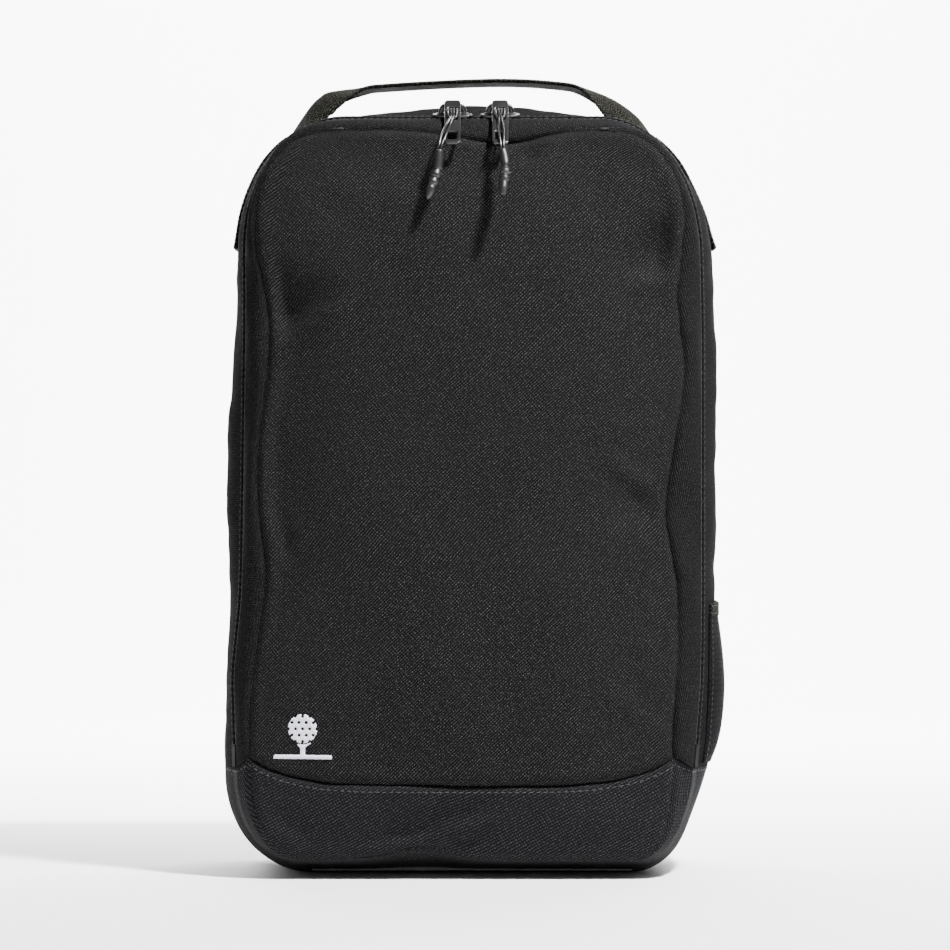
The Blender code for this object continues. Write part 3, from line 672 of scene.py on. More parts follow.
# ---- What repeats along a line: stitches and coil teeth ------------------------------------------
class BeadRun:
    """A geometry-node tree that sets small rounded beads at an even pitch along a line."""

    def __init__(self) -> None:
        """Builds the tree with its named inputs."""
        tree = bpy.data.node_groups.new("bead_run", "GeometryNodeTree")
        face = tree.interface
        face.new_socket("Geometry", in_out="INPUT", socket_type="NodeSocketGeometry")
        face.new_socket("Geometry", in_out="OUTPUT", socket_type="NodeSocketGeometry")
        self.keys = {}
        for name, kind in (("Pitch", "Float"), ("Bead Size", "Vector"), ("Across", "Vector"),
                           ("Unevenness", "Float"), ("Seed", "Int"), ("Finish", "Material")):
            made = face.new_socket(name, in_out="INPUT", socket_type=f"NodeSocket{kind}")
            self.keys[name] = made.identifier
        given = add_node(tree, "NodeGroupInput").outputs
        line = add_node(tree, "GeometryNodeMeshToCurve", inputs={"Mesh": given["Geometry"]})
        spots = add_node(tree, "GeometryNodeCurveToPoints", {"mode": "LENGTH"}, {
            "Curve": line.outputs[0], "Length": given["Pitch"]})
        ahead = add_node(tree, "FunctionNodeAlignRotationToVector", {"axis": "Z"}, {
            "Vector": spots.outputs["Tangent"]})
        level = add_node(tree, "FunctionNodeAlignRotationToVector",
                         {"axis": "Y", "pivot_axis": "Z"},
                         {"Rotation": ahead.outputs[0], "Vector": given["Across"]})
        bead = add_node(tree, "GeometryNodeMeshUVSphere", inputs={
            "Segments": 6, "Rings": 5, "Radius": 1.0})
        vary = add_node(tree, "FunctionNodeRandomValue", {"data_type": "FLOAT"}, {
            2: 0.0, 3: 1.0, "Seed": given["Seed"]})
        drop = add_node(tree, "ShaderNodeMath", {"operation": "MULTIPLY"}, {
            0: vary.outputs[1], 1: given["Unevenness"]})
        keep = add_node(tree, "ShaderNodeMath", {"operation": "SUBTRACT"}, {
            0: 1.0, 1: drop.outputs[0]})
        size = add_node(tree, "ShaderNodeVectorMath", {"operation": "SCALE"}, {
            0: given["Bead Size"], "Scale": keep.outputs[0]})
        beads = add_node(tree, "GeometryNodeInstanceOnPoints", inputs={
            "Points": spots.outputs["Points"], "Instance": bead.outputs[0],
            "Rotation": level.outputs[0], "Scale": size.outputs[0]})
        solid = add_node(tree, "GeometryNodeRealizeInstances", inputs={0: beads.outputs[0]})
        dressed = add_node(tree, "GeometryNodeSetMaterial", inputs={
            "Geometry": solid.outputs[0], "Material": given["Finish"]})
        add_node(tree, "NodeGroupOutput", inputs={0: dressed.outputs[0]})
        self.tree = tree

    def lay(
        self, name: str, lines: Sequence[np.ndarray], pitch: float, size: Sequence[float],
        finish: bpy.types.Material, across: Sequence[float] = (0, 1, 0), unevenness: float = 0.15,
        seed: int = 3,
    ) -> bpy.types.Object:
        """Sets beads along lines and returns them as one plain mesh.

        Args:
            name: the object's name.
            lines: paths in millimetres.
            pitch: the distance from bead to bead, in millimetres.
            size: half sizes of a bead across, up and along, in millimetres.
            finish: the beads' material.
            across: the direction of a bead's second size.
            unevenness: the largest share by which a bead shrinks.
            seed: chooses the unevenness.
        Returns:
            The object.
        """
        points: list = []
        edges: list = []
        for line in lines:
            start = len(points)
            points += (np.asarray(line) * MM).tolist()
            edges += [(i, i + 1) for i in range(start, len(points) - 1)]
        mesh = bpy.data.meshes.new(name + "_line")
        mesh.from_pydata(points, edges, [])
        holder = linked(name + "_line", mesh)
        change = holder.modifiers.new("beads", "NODES")
        change.node_group = self.tree
        values = {"Pitch": pitch * MM, "Bead Size": [s * MM for s in size], "Seed": seed,
                  "Across": [float(a) for a in across], "Unevenness": unevenness,
                  "Finish": finish}
        for word, value in values.items():
            change[self.keys[word]] = value
        plain = plain_mesh(holder)
        plain.name = name
        plain.shade_smooth()
        return linked(name, plain)


# ---- Seam lines ----------------------------------------------------------------------------------
def eased(marks: Marks) -> np.ndarray:
    """A table over HEIGHTS that runs smoothly through given marks.

    Args:
        marks: (height, value) pairs in millimetres, lowest first.
    Returns:
        A value for each height.
    """
    if not marks:
        return np.zeros_like(HEIGHTS)
    values = np.interp(HEIGHTS, [m[0] for m in marks], [m[1] for m in marks])
    reach = np.arange(-WAVE_REACH, WAVE_REACH + 1)
    weights = np.exp(-((reach / WAVE_SOFTNESS) ** 2))
    padded = np.pad(values, WAVE_REACH, mode="edge")
    return np.convolve(padded, weights / weights.sum(), mode="valid")


@dataclass
class SeamLine:
    """One line round the bag in a plane y, inside the full outline by side, top and base.

    left and right hold how far cloth has slumped outwards at each height, hump is a bump in the
    top edge and lift one in the base edge, each as (x, height, left reach, right reach).
    """

    y: float
    side: float
    top: float
    base: float
    rise: float = 0.0
    power: float = 2.0
    left: Marks = ()
    right: Marks = ()
    hump: tuple[float, float, float, float] = (0.0, 0.0, 1.0, 1.0)
    lift: tuple[float, float, float, float] = (0.0, 0.0, 1.0, 1.0)
    waves: dict = field(default_factory=dict)

    def __post_init__(self) -> None:
        """Works out the smooth side waves."""
        self.waves = {-1: eased(self.left), 1: eased(self.right)}

    @property
    def half(self) -> float:
        """Half of the line's width."""
        return HALF_WIDTH - self.side

    def rim(self) -> float:
        """Height of the base band's seam where it crosses this line."""
        return BAND_Z + RIM_LIFT * math.exp(-(((self.y - FRONT_Y) / RIM_REACH) ** 2))

    def bump(self, shape: tuple[float, float, float, float], x: np.ndarray) -> np.ndarray:
        """The height of a hump or lift at x."""
        place, height, left_reach, right_reach = shape
        reach = np.where(x < place, left_reach, right_reach)
        return height * np.exp(-(((x - place) / reach) ** 2))

    def slump(self, x: np.ndarray, z: np.ndarray, inner: float) -> np.ndarray:
        """Moves points of a regular outline out or in by the side waves."""
        weight = np.sqrt(smoothstep((np.abs(x) - inner) / (self.half - inner)))
        wave = np.where(x < 0, np.interp(z, HEIGHTS, self.waves[-1]),
                        np.interp(z, HEIGHTS, self.waves[1]))
        return x + np.sign(x) * weight * wave

    def corner(self, angle: np.ndarray) -> tuple[np.ndarray, np.ndarray]:
        """Half width and height of the top corner at an angle from its side."""
        bend = 2.0 / self.power
        wide = CORNER_X + (self.half - CORNER_X) * np.maximum(np.cos(angle), 0) ** bend
        high = CORNER_Z + (SHOULDER_Z - self.top - CORNER_Z) * np.sin(angle) ** bend
        return wide, high

    def arch(self, share: np.ndarray) -> np.ndarray:
        """Points from the left rim, over the top, to the right rim.

        Args:
            share: how far along, from 0 to 1.
        Returns:
            An array of points in millimetres.
        """
        near = np.minimum(share, 1 - share)
        climb = np.clip(near / SIDE_SHARE, 0, 1)
        angle = np.pi / 2 * np.clip((near - SIDE_SHARE) / CORNER_SHARE, 0, 1)
        across = np.clip((near - SIDE_SHARE - CORNER_SHARE) / TOP_SHARE * 2, 0, 1)
        wide, high = self.corner(angle)
        z = np.where(near < SIDE_SHARE, self.rim() + (CORNER_Z - self.rim()) * climb, high)
        x = np.where(share < 0.5, -1, 1) * np.where(across > 0, CORNER_X * (1 - across), wide)
        flat = np.clip(1 - (x / CORNER_X) ** 2, 0, 1)
        weight = smoothstep((z - CORNER_Z) / (SHOULDER_Z - self.top - CORNER_Z))
        top = self.rise * flat + self.bump(self.hump, x)
        moved = self.slump(x, z, CORNER_X)
        return np.stack([moved, np.full_like(x, self.y), z + weight * top], axis=1)

    def cradle(self, share: np.ndarray) -> np.ndarray:
        """Points from the right rim, under the base, to the left rim.

        Args:
            share: how far along, from 0 to 1.
        Returns:
            An array of points in millimetres.
        """
        near = np.minimum(share, 1 - share)
        drop = np.clip(near / DROP_SHARE, 0, 1)
        angle = np.pi / 2 * np.clip((near - DROP_SHARE) / TURN_SHARE, 0, 1)
        across = np.clip((near - DROP_SHARE - TURN_SHARE) / FLOOR_SHARE, 0, 1)
        wide = BASE_X + (self.half - BASE_X) * np.cos(angle)
        low = BASE_Z - (BASE_Z - self.base) * np.sin(angle)
        z = np.where(near < DROP_SHARE, self.rim() + (BASE_Z - self.rim()) * drop, low)
        x = np.where(share < 0.5, 1, -1) * np.where(across > 0, BASE_X * (1 - across), wide)
        z = z + self.bump(self.lift, x) * (near >= LIFT_SHARE)
        return np.stack([self.slump(x, z, BASE_SLUMP_X), np.full_like(x, self.y), z], axis=1)

    def side_x(self, sign: int, z: np.ndarray) -> np.ndarray:
        """Signed x of the line's straight side at each height."""
        return sign * (self.half + np.interp(z, HEIGHTS, self.waves[sign]))


SEAM_LEFT: Marks = ((0, 4.0), (20, 6.5), (41, 6.1), (85, 5.7), (109, 2.5), (143, -2.4), (170, 1.8),
                    (197, 2.4), (206, 1.5), (218, 0.0), (233, -2.2), (253, -3.5), (272, -1.4),
                    (290, 3.0), (309, 5.0), (330, 4.4), (350, 1.5))
SEAM_RIGHT: Marks = ((0, -1.0), (38, -3.4), (65, -4.6), (97, -1.4), (134, -1.6), (170, -8.2),
                     (197, -3.9), (231, 2.0), (268, -2.0), (300, 1.5), (316, 3.0), (350, 1.0))
ZIP_LEFT: Marks = ((0, 2.0), (30, 3.0), (94, 4.9), (107, 3.5), (129, 1.2), (146, 0.7), (257, -0.8),
                   (277, -0.8), (300, -0.5), (340, 0.5))
ZIP_RIGHT: Marks = ((0, -3.0), (30, -5.0), (55, -2.4), (90, 0.3), (127, 0.8), (245, 0.8),
                    (277, 0.3), (306, -0.4), (340, 0.0))
CROWN_LEFT: Marks = ((0, -2.0), (9, 0.6), (23, 0.8), (51, 1.2), (89, 0.7), (127, -1.4), (146, 0.3),
                     (203, 0.2), (222, -0.7), (240, -2.4), (255, -4.6), (271, -3.6), (300, -4.8),
                     (326, -3.4), (345, 0.0))
CROWN_RIGHT: Marks = ((0, -5.0), (14, -7.0), (23, -9.2), (37, -8.0), (51, -3.8), (61, -1.0),
                      (127, -1.3), (150, -0.4), (250, -0.4), (269, -1.2), (300, -3.0), (322, -4.8),
                      (336, -2.5), (350, -1.0))

FRONT_SEAM = SeamLine(FRONT_Y, 18.0, 6.8, 9.0, power=2.5, left=SEAM_LEFT, right=SEAM_RIGHT,
                      hump=(15.0, -6.9, 28.0, 22.0), lift=(-22.0, 5.6, 18.0, 16.0))
ZIP_FRONT = SeamLine(-43.67, 9.71, 1.81, 6.6, left=ZIP_LEFT, right=ZIP_RIGHT,
                     lift=(-22.0, 2.4, 20.0, 18.0))
ZIP_REAR = SeamLine(-32.33, 7.29, -0.61, 3.6, left=ZIP_LEFT, right=ZIP_RIGHT,
                    lift=(-22.0, 1.0, 20.0, 18.0))
CROWN_FRONT = SeamLine(-14.0, 0.0, 0.0, 0.0, 7.0, left=CROWN_LEFT, right=CROWN_RIGHT)
CROWN_REAR = SeamLine(30.0, 0.0, 0.0, 0.0, 7.0, left=CROWN_LEFT, right=CROWN_RIGHT)
REAR_SEAM = SeamLine(54.0, 12.0, 10.0, 8.0, power=2.3,
                     left=((0, 0.0), (90, 2.0), (160, -1.5), (230, 1.0), (300, -1.0)),
                     right=((0, -3.0), (60, -2.0), (130, 1.5), (210, -1.5), (290, 0.5)))


class Path(Enum):
    """The two runs that make up a seam line."""

    ARCH = "arch"
    CRADLE = "cradle"


@dataclass
class Strip:
    """A strip of cloth lofted across the depth of the bag between seam lines."""

    path: Path
    stations: list[tuple[SeamLine, SeamLine, float, float]]
    columns: int = GUSSET_COLUMNS

    def grid(self) -> np.ndarray:
        """Points of the strip, one row for each station."""
        share = np.linspace(0, 1, self.columns)
        rows = []
        for near, far, depth, turned in self.stations:
            first = getattr(near, self.path.value)(share)
            last = getattr(far, self.path.value)(share)
            row = first + (last - first) * turned
            row[:, 1] = near.y + (far.y - near.y) * depth
            rows.append(row)
        return np.array(rows)


def rear_stations() -> list[tuple[SeamLine, SeamLine, float, float]]:
    """Stations of the rear strip, rounded over at the zip and at the back seam."""
    made = [(ZIP_FRONT, ZIP_REAR, LIP_REAR, LIP_REAR), (ZIP_FRONT, ZIP_REAR, 0.9, 0.9)]
    made += [(ZIP_REAR, CROWN_FRONT, s, 1 - (1 - s) ** 2) for s in np.linspace(0, 1, 11)]
    made += [(CROWN_FRONT, CROWN_REAR, s, s) for s in np.linspace(0, 1, 18)[1:-1]]
    return made + [(CROWN_REAR, REAR_SEAM, s, s**2) for s in np.linspace(0, 1, 13)]


def pushed(grid: np.ndarray, height: np.ndarray) -> np.ndarray:
    """The grid with each point moved outwards by a height in millimetres."""
    return grid + grid_normals(grid) * height[..., None]


def turned_in(grid: np.ndarray, rows: Sequence[int], depth: float, reach: float) -> np.ndarray:
    """Rolls edges of a strip inwards to a seam.

    Args:
        grid: the strip.
        rows: the edge rows, 0 for the first and -1 for the last.
        depth: how deep the edge goes, in millimetres.
        reach: how far from the edge the roll starts.
    Returns:
        The new grid.
    """
    gaps = np.linalg.norm(np.diff(grid, axis=0), axis=2)
    run = np.concatenate([np.zeros((1, grid.shape[1])), np.cumsum(gaps, axis=0)])
    fall = np.zeros(grid.shape[:2])
    for row in rows:
        distance = run if row == 0 else run[-1] - run
        fall += np.exp(-((distance / reach) ** 2))
    return pushed(grid, -depth * fall)


# ---- Folds in cloth ------------------------------------------------------------------------------
@dataclass(frozen=True)
class Dent:
    """A soft round rise, or a hollow when its height is negative."""

    x: float
    z: float
    reach_x: float
    reach_z: float
    height: float
    turn: float = 0.0

    def rise(self, x: np.ndarray, z: np.ndarray) -> np.ndarray:
        """Height in millimetres at each place."""
        c, s = math.cos(math.radians(self.turn)), math.sin(math.radians(self.turn))
        along = (x - self.x) * c + (z - self.z) * s
        across = (z - self.z) * c - (x - self.x) * s
        return self.height * np.exp(-((along / self.reach_x) ** 2) - (across / self.reach_z) ** 2)


@dataclass(frozen=True)
class Fold:
    """A long crease from one place to another, with a trough on its left side as it runs."""

    start: tuple[float, float]
    end: tuple[float, float]
    width: float
    height: float
    trough: float = 0.6

    def rise(self, x: np.ndarray, z: np.ndarray) -> np.ndarray:
        """Height in millimetres at each place."""
        dx, dz = self.end[0] - self.start[0], self.end[1] - self.start[1]
        length = math.hypot(dx, dz)
        along = ((x - self.start[0]) * dx + (z - self.start[1]) * dz) / length**2
        across = ((z - self.start[1]) * dx - (x - self.start[0]) * dz) / length
        ends = smoothstep((along + 0.25) / 0.5) * smoothstep((1.25 - along) / 0.5)
        crest = np.exp(-((across / self.width) ** 2))
        hollow = np.exp(-(((across - 1.7 * self.width) / (1.3 * self.width)) ** 2))
        return self.height * ends * (crest - self.trough * hollow)


# ---- Front and back faces ------------------------------------------------------------------------
@dataclass
class Face:
    """A large face of the bag, stuffed softly between its seams and split by the base band.

    The two waves are (height, wavelength) of the cloth's unevenness. pinch is the (depth, reach)
    of the roll into a seam, and ridge the (height, distance, reach) of the swell beside it.
    """

    seam: SeamLine
    facing: int
    bulge: float
    folds: tuple
    columns: int = 128
    lap: float = 0.35
    seed: int = 11
    row_step: float = 2.2
    corner_rows: int = 46
    base_rows: int = 30
    soft_wave: tuple[float, float] = (0.55, 62)
    fine_wave: tuple[float, float] = (0.16, 21)
    pinch: tuple[float, float] = (1.7, 1.5)
    ridge: tuple[float, float, float] = (0.35, 4.2, 2.2)

    def band(self, x: np.ndarray) -> np.ndarray:
        """Height of the seam between the face and its base band."""
        if self.facing > 0:
            return np.full_like(x, BAND_Z)
        left = 12.2 * (np.clip(10 - x, 0, None) / 112) ** 6
        right = 13.4 * (np.clip(x - 10, 0, None) / 85.6) ** 4
        return 43.6 + np.minimum(left + right, 14.0)

    def spread(self) -> np.ndarray:
        """Shares across the face, crowded near its two sides."""
        even = np.linspace(0, 1, self.columns + 1)
        return 0.15 * even + 0.85 * (1 - np.cos(np.pi * even)) / 2

    def upper_rows(self) -> np.ndarray:
        """Points in the seam's plane from the band up to the top seam."""
        share = self.spread()
        fine = np.array([0, 0.35, 0.7, 1.1, 1.6, 2.3, 3.2, 4.5, 6.2, 8.2])
        even = np.arange(fine[-1] + self.row_step, CORNER_Z - BAND_Z, self.row_step)
        levels = np.concatenate([fine, even]) + BAND_Z
        rows = []
        for level in levels:
            ends = [self.seam.side_x(sign, np.array(level + 4)) - sign * self.lap
                    for sign in (-1, 1)]
            x = ends[0] + (ends[1] - ends[0]) * share
            settle = 1 - smoothstep((level - BAND_Z) / 60)
            z = level + (self.band(x) - BAND_Z) * settle
            low, high = (self.seam.side_x(sign, z[i]) - sign * self.lap
                         for sign, i in ((-1, 0), (1, -1)))
            rows.append(np.stack([low + (high - low) * share, np.zeros_like(x), z], axis=1))
        for angle in np.linspace(0, np.pi / 2, self.corner_rows):
            wide, high = self.seam.corner(np.array([angle]))
            ends = self.seam.slump(np.array([-wide[0], wide[0]]), np.repeat(high, 2), CORNER_X)
            ends = ends - np.sign(ends) * self.lap * math.cos(angle)
            x = ends[0] + (ends[1] - ends[0]) * share
            weight = smoothstep((high - CORNER_Z) / (SHOULDER_Z - self.seam.top - CORNER_Z))
            top = self.seam.rise * np.clip(1 - (x / CORNER_X) ** 2, 0, 1)
            top = (top + self.seam.bump(self.seam.hump, x)) * weight**2
            z = high - self.lap * math.sin(angle) + top
            rows.append(np.stack([x, np.zeros_like(x), np.broadcast_to(z, x.shape)], axis=1))
        return np.array(rows)

    def lower_rows(self) -> np.ndarray:
        """Points in the seam's plane from the base seam up to the band."""
        share = self.spread()
        rows = []
        for angle in np.linspace(np.pi / 2, 0, self.base_rows):
            wide = BASE_X + (self.seam.half - BASE_X) * math.cos(angle)
            low = BASE_Z - (BASE_Z - self.seam.base) * math.sin(angle)
            ends = self.seam.slump(np.array([-wide, wide]), np.array([low, low]), BASE_SLUMP_X)
            ends = ends - np.sign(ends) * self.lap * math.cos(angle)
            x = ends[0] + (ends[1] - ends[0]) * share
            rise = (BASE_Z - low) / (BASE_Z - self.seam.base)
            settle = smoothstep((low - 18) / (BASE_Z - 18))
            z = low + self.lap * math.sin(angle) + self.seam.bump(self.seam.lift, x) * rise**2
            z = z + (self.band(x) - BASE_Z) * settle
            rows.append(np.stack([x, np.zeros_like(x), z], axis=1))
        made = np.array(rows)
        made[-1, :, 2] = self.band(made[-1, :, 0])
        return made

    def shaped(self, flat: np.ndarray, seam_rows: Sequence[int]) -> np.ndarray:
        """Bulges, folds and rolls in the rows of a face.

        Args:
            flat: rows in the seam's plane.
            seam_rows: rows that roll in to a seam.
        Returns:
            Points in millimetres.
        """
        x, z = flat[..., 0], flat[..., 2]
        top, base = SHOULDER_Z - self.seam.top, self.seam.base
        tall = np.clip(np.abs(z - (top + base) / 2) / ((top - base) / 2), 0, 1)
        middle = (x[:, :1] + x[:, -1:]) / 2
        wide = np.abs(x - middle) / ((x[:, -1:] - x[:, :1]) / 2)
        height = self.bulge * (1 - wide**2.6) * (1 - tall**3)
        soft = np.clip(np.minimum(1 - wide, 1 - tall) * 7, 0, 1)
        held = smoothstep((1 - wide) / 0.12)
        for fold in self.folds:
            height = height + held * fold.rise(x, z)
        for step, (rise, wavelength) in enumerate((self.soft_wave, self.fine_wave)):
            height = height + soft * rise * ripple(x, z, wavelength, self.seed + step)
        border = self.border_distance(x, z, seam_rows)
        depth, roll = self.pinch
        swell, away, reach = self.ridge
        height = height - depth * np.exp(-((border / roll) ** 2))
        height = height + swell * np.exp(-(((border - away) / reach) ** 2))
        made = flat.copy()
        made[..., 1] = self.seam.y + self.facing * height
        return made

    def border_distance(
        self, x: np.ndarray, z: np.ndarray, seam_rows: Sequence[int]
    ) -> np.ndarray:
        """Distance in millimetres from each point to the nearest seam of the piece."""
        edges = [np.stack([x[:, c], z[:, c]], axis=1) for c in (0, -1)]
        edges += [np.stack([x[r], z[r]], axis=1) for r in seam_rows]
        border = np.concatenate(edges)
        flat = np.stack([x.ravel(), z.ravel()], axis=1)
        nearest = np.full(len(flat), 1e9)
        batch = 40
        for start in range(0, len(border), batch):
            part = border[start:start + batch]
            gap = np.hypot(flat[:, :1] - part[:, 0], flat[:, 1:] - part[:, 1])
            nearest = np.minimum(nearest, gap.min(axis=1))
        return nearest.reshape(x.shape)


FRONT_FOLDS = (
    Dent(-94, 263, 20, 17, -6.0), Dent(-97, 180, 25, 60, -4.0),
    Fold((-93, 241), (-60, 264), 6, 2.8),
    Fold((-97, 172), (-88, 144), 3.2, 1.3), Fold((-99, 160), (-92, 136), 2.4, 0.9),
    Dent(83, 290, 12, 19, -7.5, -32),
    Fold((100, 276), (72, 274), 5.0, 1.7, 0.25), Fold((70, 284), (92, 314), 5.0, 0.9, 0.2),
    Fold((60, 194), (84, 179), 4.5, 1.6, 0.2), Dent(80, 171, 11, 8, -2.2, -25),
    Fold((62, 86), (90, 66), 5.0, 1.2), Dent(24, 334, 6, 5, -1.4, 40), Dent(35, 341, 7, 4, 1.0, 40),
    Dent(-30, 300, 40, 26, 1.2), Dent(30, 250, 42, 60, 1.4), Dent(-20, 110, 50, 34, 1.0),
    Fold((-70, 322), (-30, 312), 9, 0.8), Dent(66, 120, 16, 24, -1.3), Dent(-88, 100, 10, 20, 1.2),
)
BASE_FOLDS = (
    Fold((-42, 11), (8, 27), 4.0, 2.0, 0.7), Dent(-19, 17, 13, 6, -2.0), Dent(62, 28, 22, 9, 1.2),
    Fold((70, 16), (90, 34), 4, 1.0), Dent(-70, 30, 20, 9, 1.0), Fold((-96, 24), (-80, 16), 4, 1.0),
)
BACK_FOLDS = (
    Dent(-40, 220, 40, 60, 1.6), Dent(50, 140, 40, 50, 1.2), Fold((-90, 120), (-50, 96), 6, 1.4),
    Fold((92, 260), (60, 282), 6, 1.3), Fold((-88, 290), (-60, 268), 5, 1.1),
)
FRONT_FACE = Face(FRONT_SEAM, -1, 12.0, FRONT_FOLDS)
FRONT_BASE = Face(FRONT_SEAM, -1, 12.0, BASE_FOLDS, seed=17)
BACK_FACE = Face(REAR_SEAM, 1, 8.0, BACK_FOLDS, columns=90, seed=23)
BACK_BASE = Face(REAR_SEAM, 1, 8.0, (), columns=90, seed=29)


def on_grid(grid: np.ndarray, places: Sequence[tuple[float, float]], proud: float) -> np.ndarray:
    """Points just outside a grid at shares of its rows and columns.

    Args:
        grid: rows by columns of points.
        places: (row share, column share) pairs.
        proud: distance outside the grid in millimetres.
    Returns:
        An array of points.
    """
    lifted = grid + grid_normals(grid) * proud
    rows, columns = grid.shape[:2]
    made = []
    for row_share, column_share in places:
        row, column = row_share * (rows - 1), column_share * (columns - 1)
        r, c = min(int(row), rows - 2), min(int(column), columns - 2)
        fr, fc = row - r, column - c
        made.append((1 - fr) * ((1 - fc) * lifted[r, c] + fc * lifted[r, c + 1])
                    + fr * ((1 - fc) * lifted[r + 1, c] + fc * lifted[r + 1, c + 1]))
    return np.array(made)


def dress(
    piece: bpy.types.Object, body: str, nodes: Sequence[str] = (),
    fold: bool = False
) -> bpy.types.Object:
    """Sets a piece on its body, or bakes a piece of the folding front in place, and hides the CAD
    nodes that it stands for.

    Args:
        piece: the object.
        body: the CAD body that carries it.
        nodes: CAD nodes that the piece stands for.
        fold: True for a piece on the front's fold line; it is baked in place and set on no body.
    Returns:
        The same object.
    """
    if fold:
        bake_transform(piece)
    else:
        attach(piece, body)
    if nodes:
        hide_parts(*nodes)
    LOG.info("%s rides on %s", piece.name, body)
    return piece


@dataclass
class Shell:
    """The sewn cloth of the bag: faces, gussets, base band and bindings.

    Each roll is the (depth, reach) by which an edge turns in: to a seam, to the zip, to the back.
    """

    wardrobe: Wardrobe
    beads: BeadRun
    stitch_pitch: float = 3.2
    stitch_size: tuple[float, float, float] = (0.22, 0.3, 1.15)
    strip_pitch: float = 2.9
    strip_stitch: tuple[float, float, float] = (0.2, 0.28, 1.0)
    seam_roll: tuple[float, float] = (1.7, 1.4)
    lip_roll: tuple[float, float] = (0.5, 0.8)
    rear_roll: tuple[float, float] = (1.5, 1.6)
    binding_depth: float = 2.9
    binding_columns: int = 220
    front_grid: np.ndarray | None = None

    def build(self) -> None:
        """Makes every cloth piece and its stitches."""
        self.faces()
        self.gussets()
        self.bindings()

    def faces(self) -> None:
        """The front and back panels and their base bands."""
        w = self.wardrobe
        pieces = (
            ("front_face", FRONT_FACE, True, w.canvas, Slot.CANVAS, "flap", "front_panel"),
            ("front_base_face", FRONT_BASE, False, w.base, Slot.BASE, "bag", "front_base_panel"),
            ("back_face", BACK_FACE, True, w.canvas, Slot.CANVAS, "bag", "back_panel"),
            ("back_base_face", BACK_BASE, False, w.base, Slot.BASE, "bag", "back_base_panel"),
        )
        for name, face, upper, finish, slot, body, node in pieces:
            flat = face.upper_rows() if upper else face.lower_rows()
            grid = face.shaped(flat, (0, -1))
            piece = cloth_shell(name, grid, finish, w.lining)
            dress(piece, body, (node,), fold=body == "flap")
            if name == "front_face":
                self.front_grid = grid
            if not upper:
                run = on_grid(grid, [(0.945, c) for c in np.linspace(0.02, 0.98, 120)], PROUD)
                stitches = self.beads.lay(f"{name}_topstitch", [run], self.stitch_pitch,
                                          self.stitch_size, w.thread, (0, 0, 1))
                dress(stitches, "bag")

    def gussets(self) -> None:
        """The strips round the sides: two above the band and one below it."""
        w = self.wardrobe
        fine = (0.0, 0.04, 0.09, 0.16, 0.26, 0.40, 0.55, 0.70, 0.82, 0.90, 0.95, 1.0)
        stations = [(FRONT_SEAM, ZIP_FRONT, s, s) for s in fine]
        stations += [(ZIP_FRONT, ZIP_REAR, s, s) for s in (LIP_FRONT / 2, LIP_FRONT)]
        front = Strip(Path.ARCH, stations).grid()
        run = np.linspace(0, 780, front.shape[1])[None, :]
        depth = np.array((*fine, 1.0, 1.0))[:, None]
        pucker = 0.35 * ripple(run, 0 * run, 8, 5) * np.exp(-depth * 3)
        belly = 1.3 * np.sin(np.pi * depth) * (1 + 0.5 * ripple(run, 0 * run, 60, 6))
        front = turned_in(pushed(front, pucker + belly), (0,), *self.seam_roll)
        front = turned_in(front, (-1,), *self.lip_roll)
        piece = cloth_shell("front_side_strip", front, w.side, w.lining)
        dress(piece, "flap", ("front_gusset",), fold=True)
        rear = Strip(Path.ARCH, rear_stations()).grid()
        rear = pushed(rear, self.rear_relief(rear))
        rear = turned_in(turned_in(rear, (0,), *self.lip_roll), (-1,), *self.rear_roll)
        piece = cloth_shell("rear_side_strip", rear, w.side, w.lining)
        dress(piece, "bag", ("rear_gusset",))
        below = [(FRONT_SEAM, ZIP_FRONT, s, s) for s in fine[:-1]]
        below += [(ZIP_FRONT, ZIP_REAR, s, s) for s in np.linspace(0, 1, 5)[:-1]]
        under = Strip(Path.CRADLE, below + rear_stations()[2:], 230).grid()
        under = turned_in(under, (0, -1), *self.seam_roll)
        piece = cloth_shell("base_strip", under, w.base, w.lining)
        dress(piece, "bag", ("base_gusset",))
        edge = np.linspace(0.004, 0.996, 700)
        front_run = on_grid(front, [(0.93, s) for s in edge], PROUD)
        seams = self.beads.lay("front_strip_topstitch", [front_run], self.strip_pitch,
                               self.strip_stitch, w.thread)
        dress(seams, "flap", fold=True)
        runs = [on_grid(rear, [(row, s) for s in edge], PROUD) for row in (0.03, 0.955)]
        seams = self.beads.lay("rear_strip_topstitch", runs, self.strip_pitch,
                               self.strip_stitch, w.thread)
        dress(seams, "bag")
        sides = [on_grid(under, [(r, s) for r in np.linspace(0.02, 0.98, 90)], PROUD)
                 for s in (0.013, 0.987)]
        seams = self.beads.lay("base_strip_topstitch", sides, self.stitch_pitch,
                               self.stitch_size, w.thread, (0, 0, 1))
        dress(seams, "bag")

    def rear_relief(self, grid: np.ndarray) -> np.ndarray:
        """Soft unevenness of the rear strip, none where other pieces are sewn on it."""
        run = lengths_over(grid, 1) / MM
        across = grid[..., 1]
        calm = 1 - np.exp(-(((across + 32) / 6) ** 2))
        pocket = 1 - smoothstep((130 - grid[..., 2]) / 12) * (grid[..., 0] > 0)
        webbing = smoothstep((np.abs(across - 5) - 13) / 6)
        steady = np.where(grid[..., 2] > 285, webbing, 1.0)
        return calm * pocket * steady * (0.35 * ripple(run, across, 45, 31)
                                         + 0.2 * ripple(run, across, 17, 32))

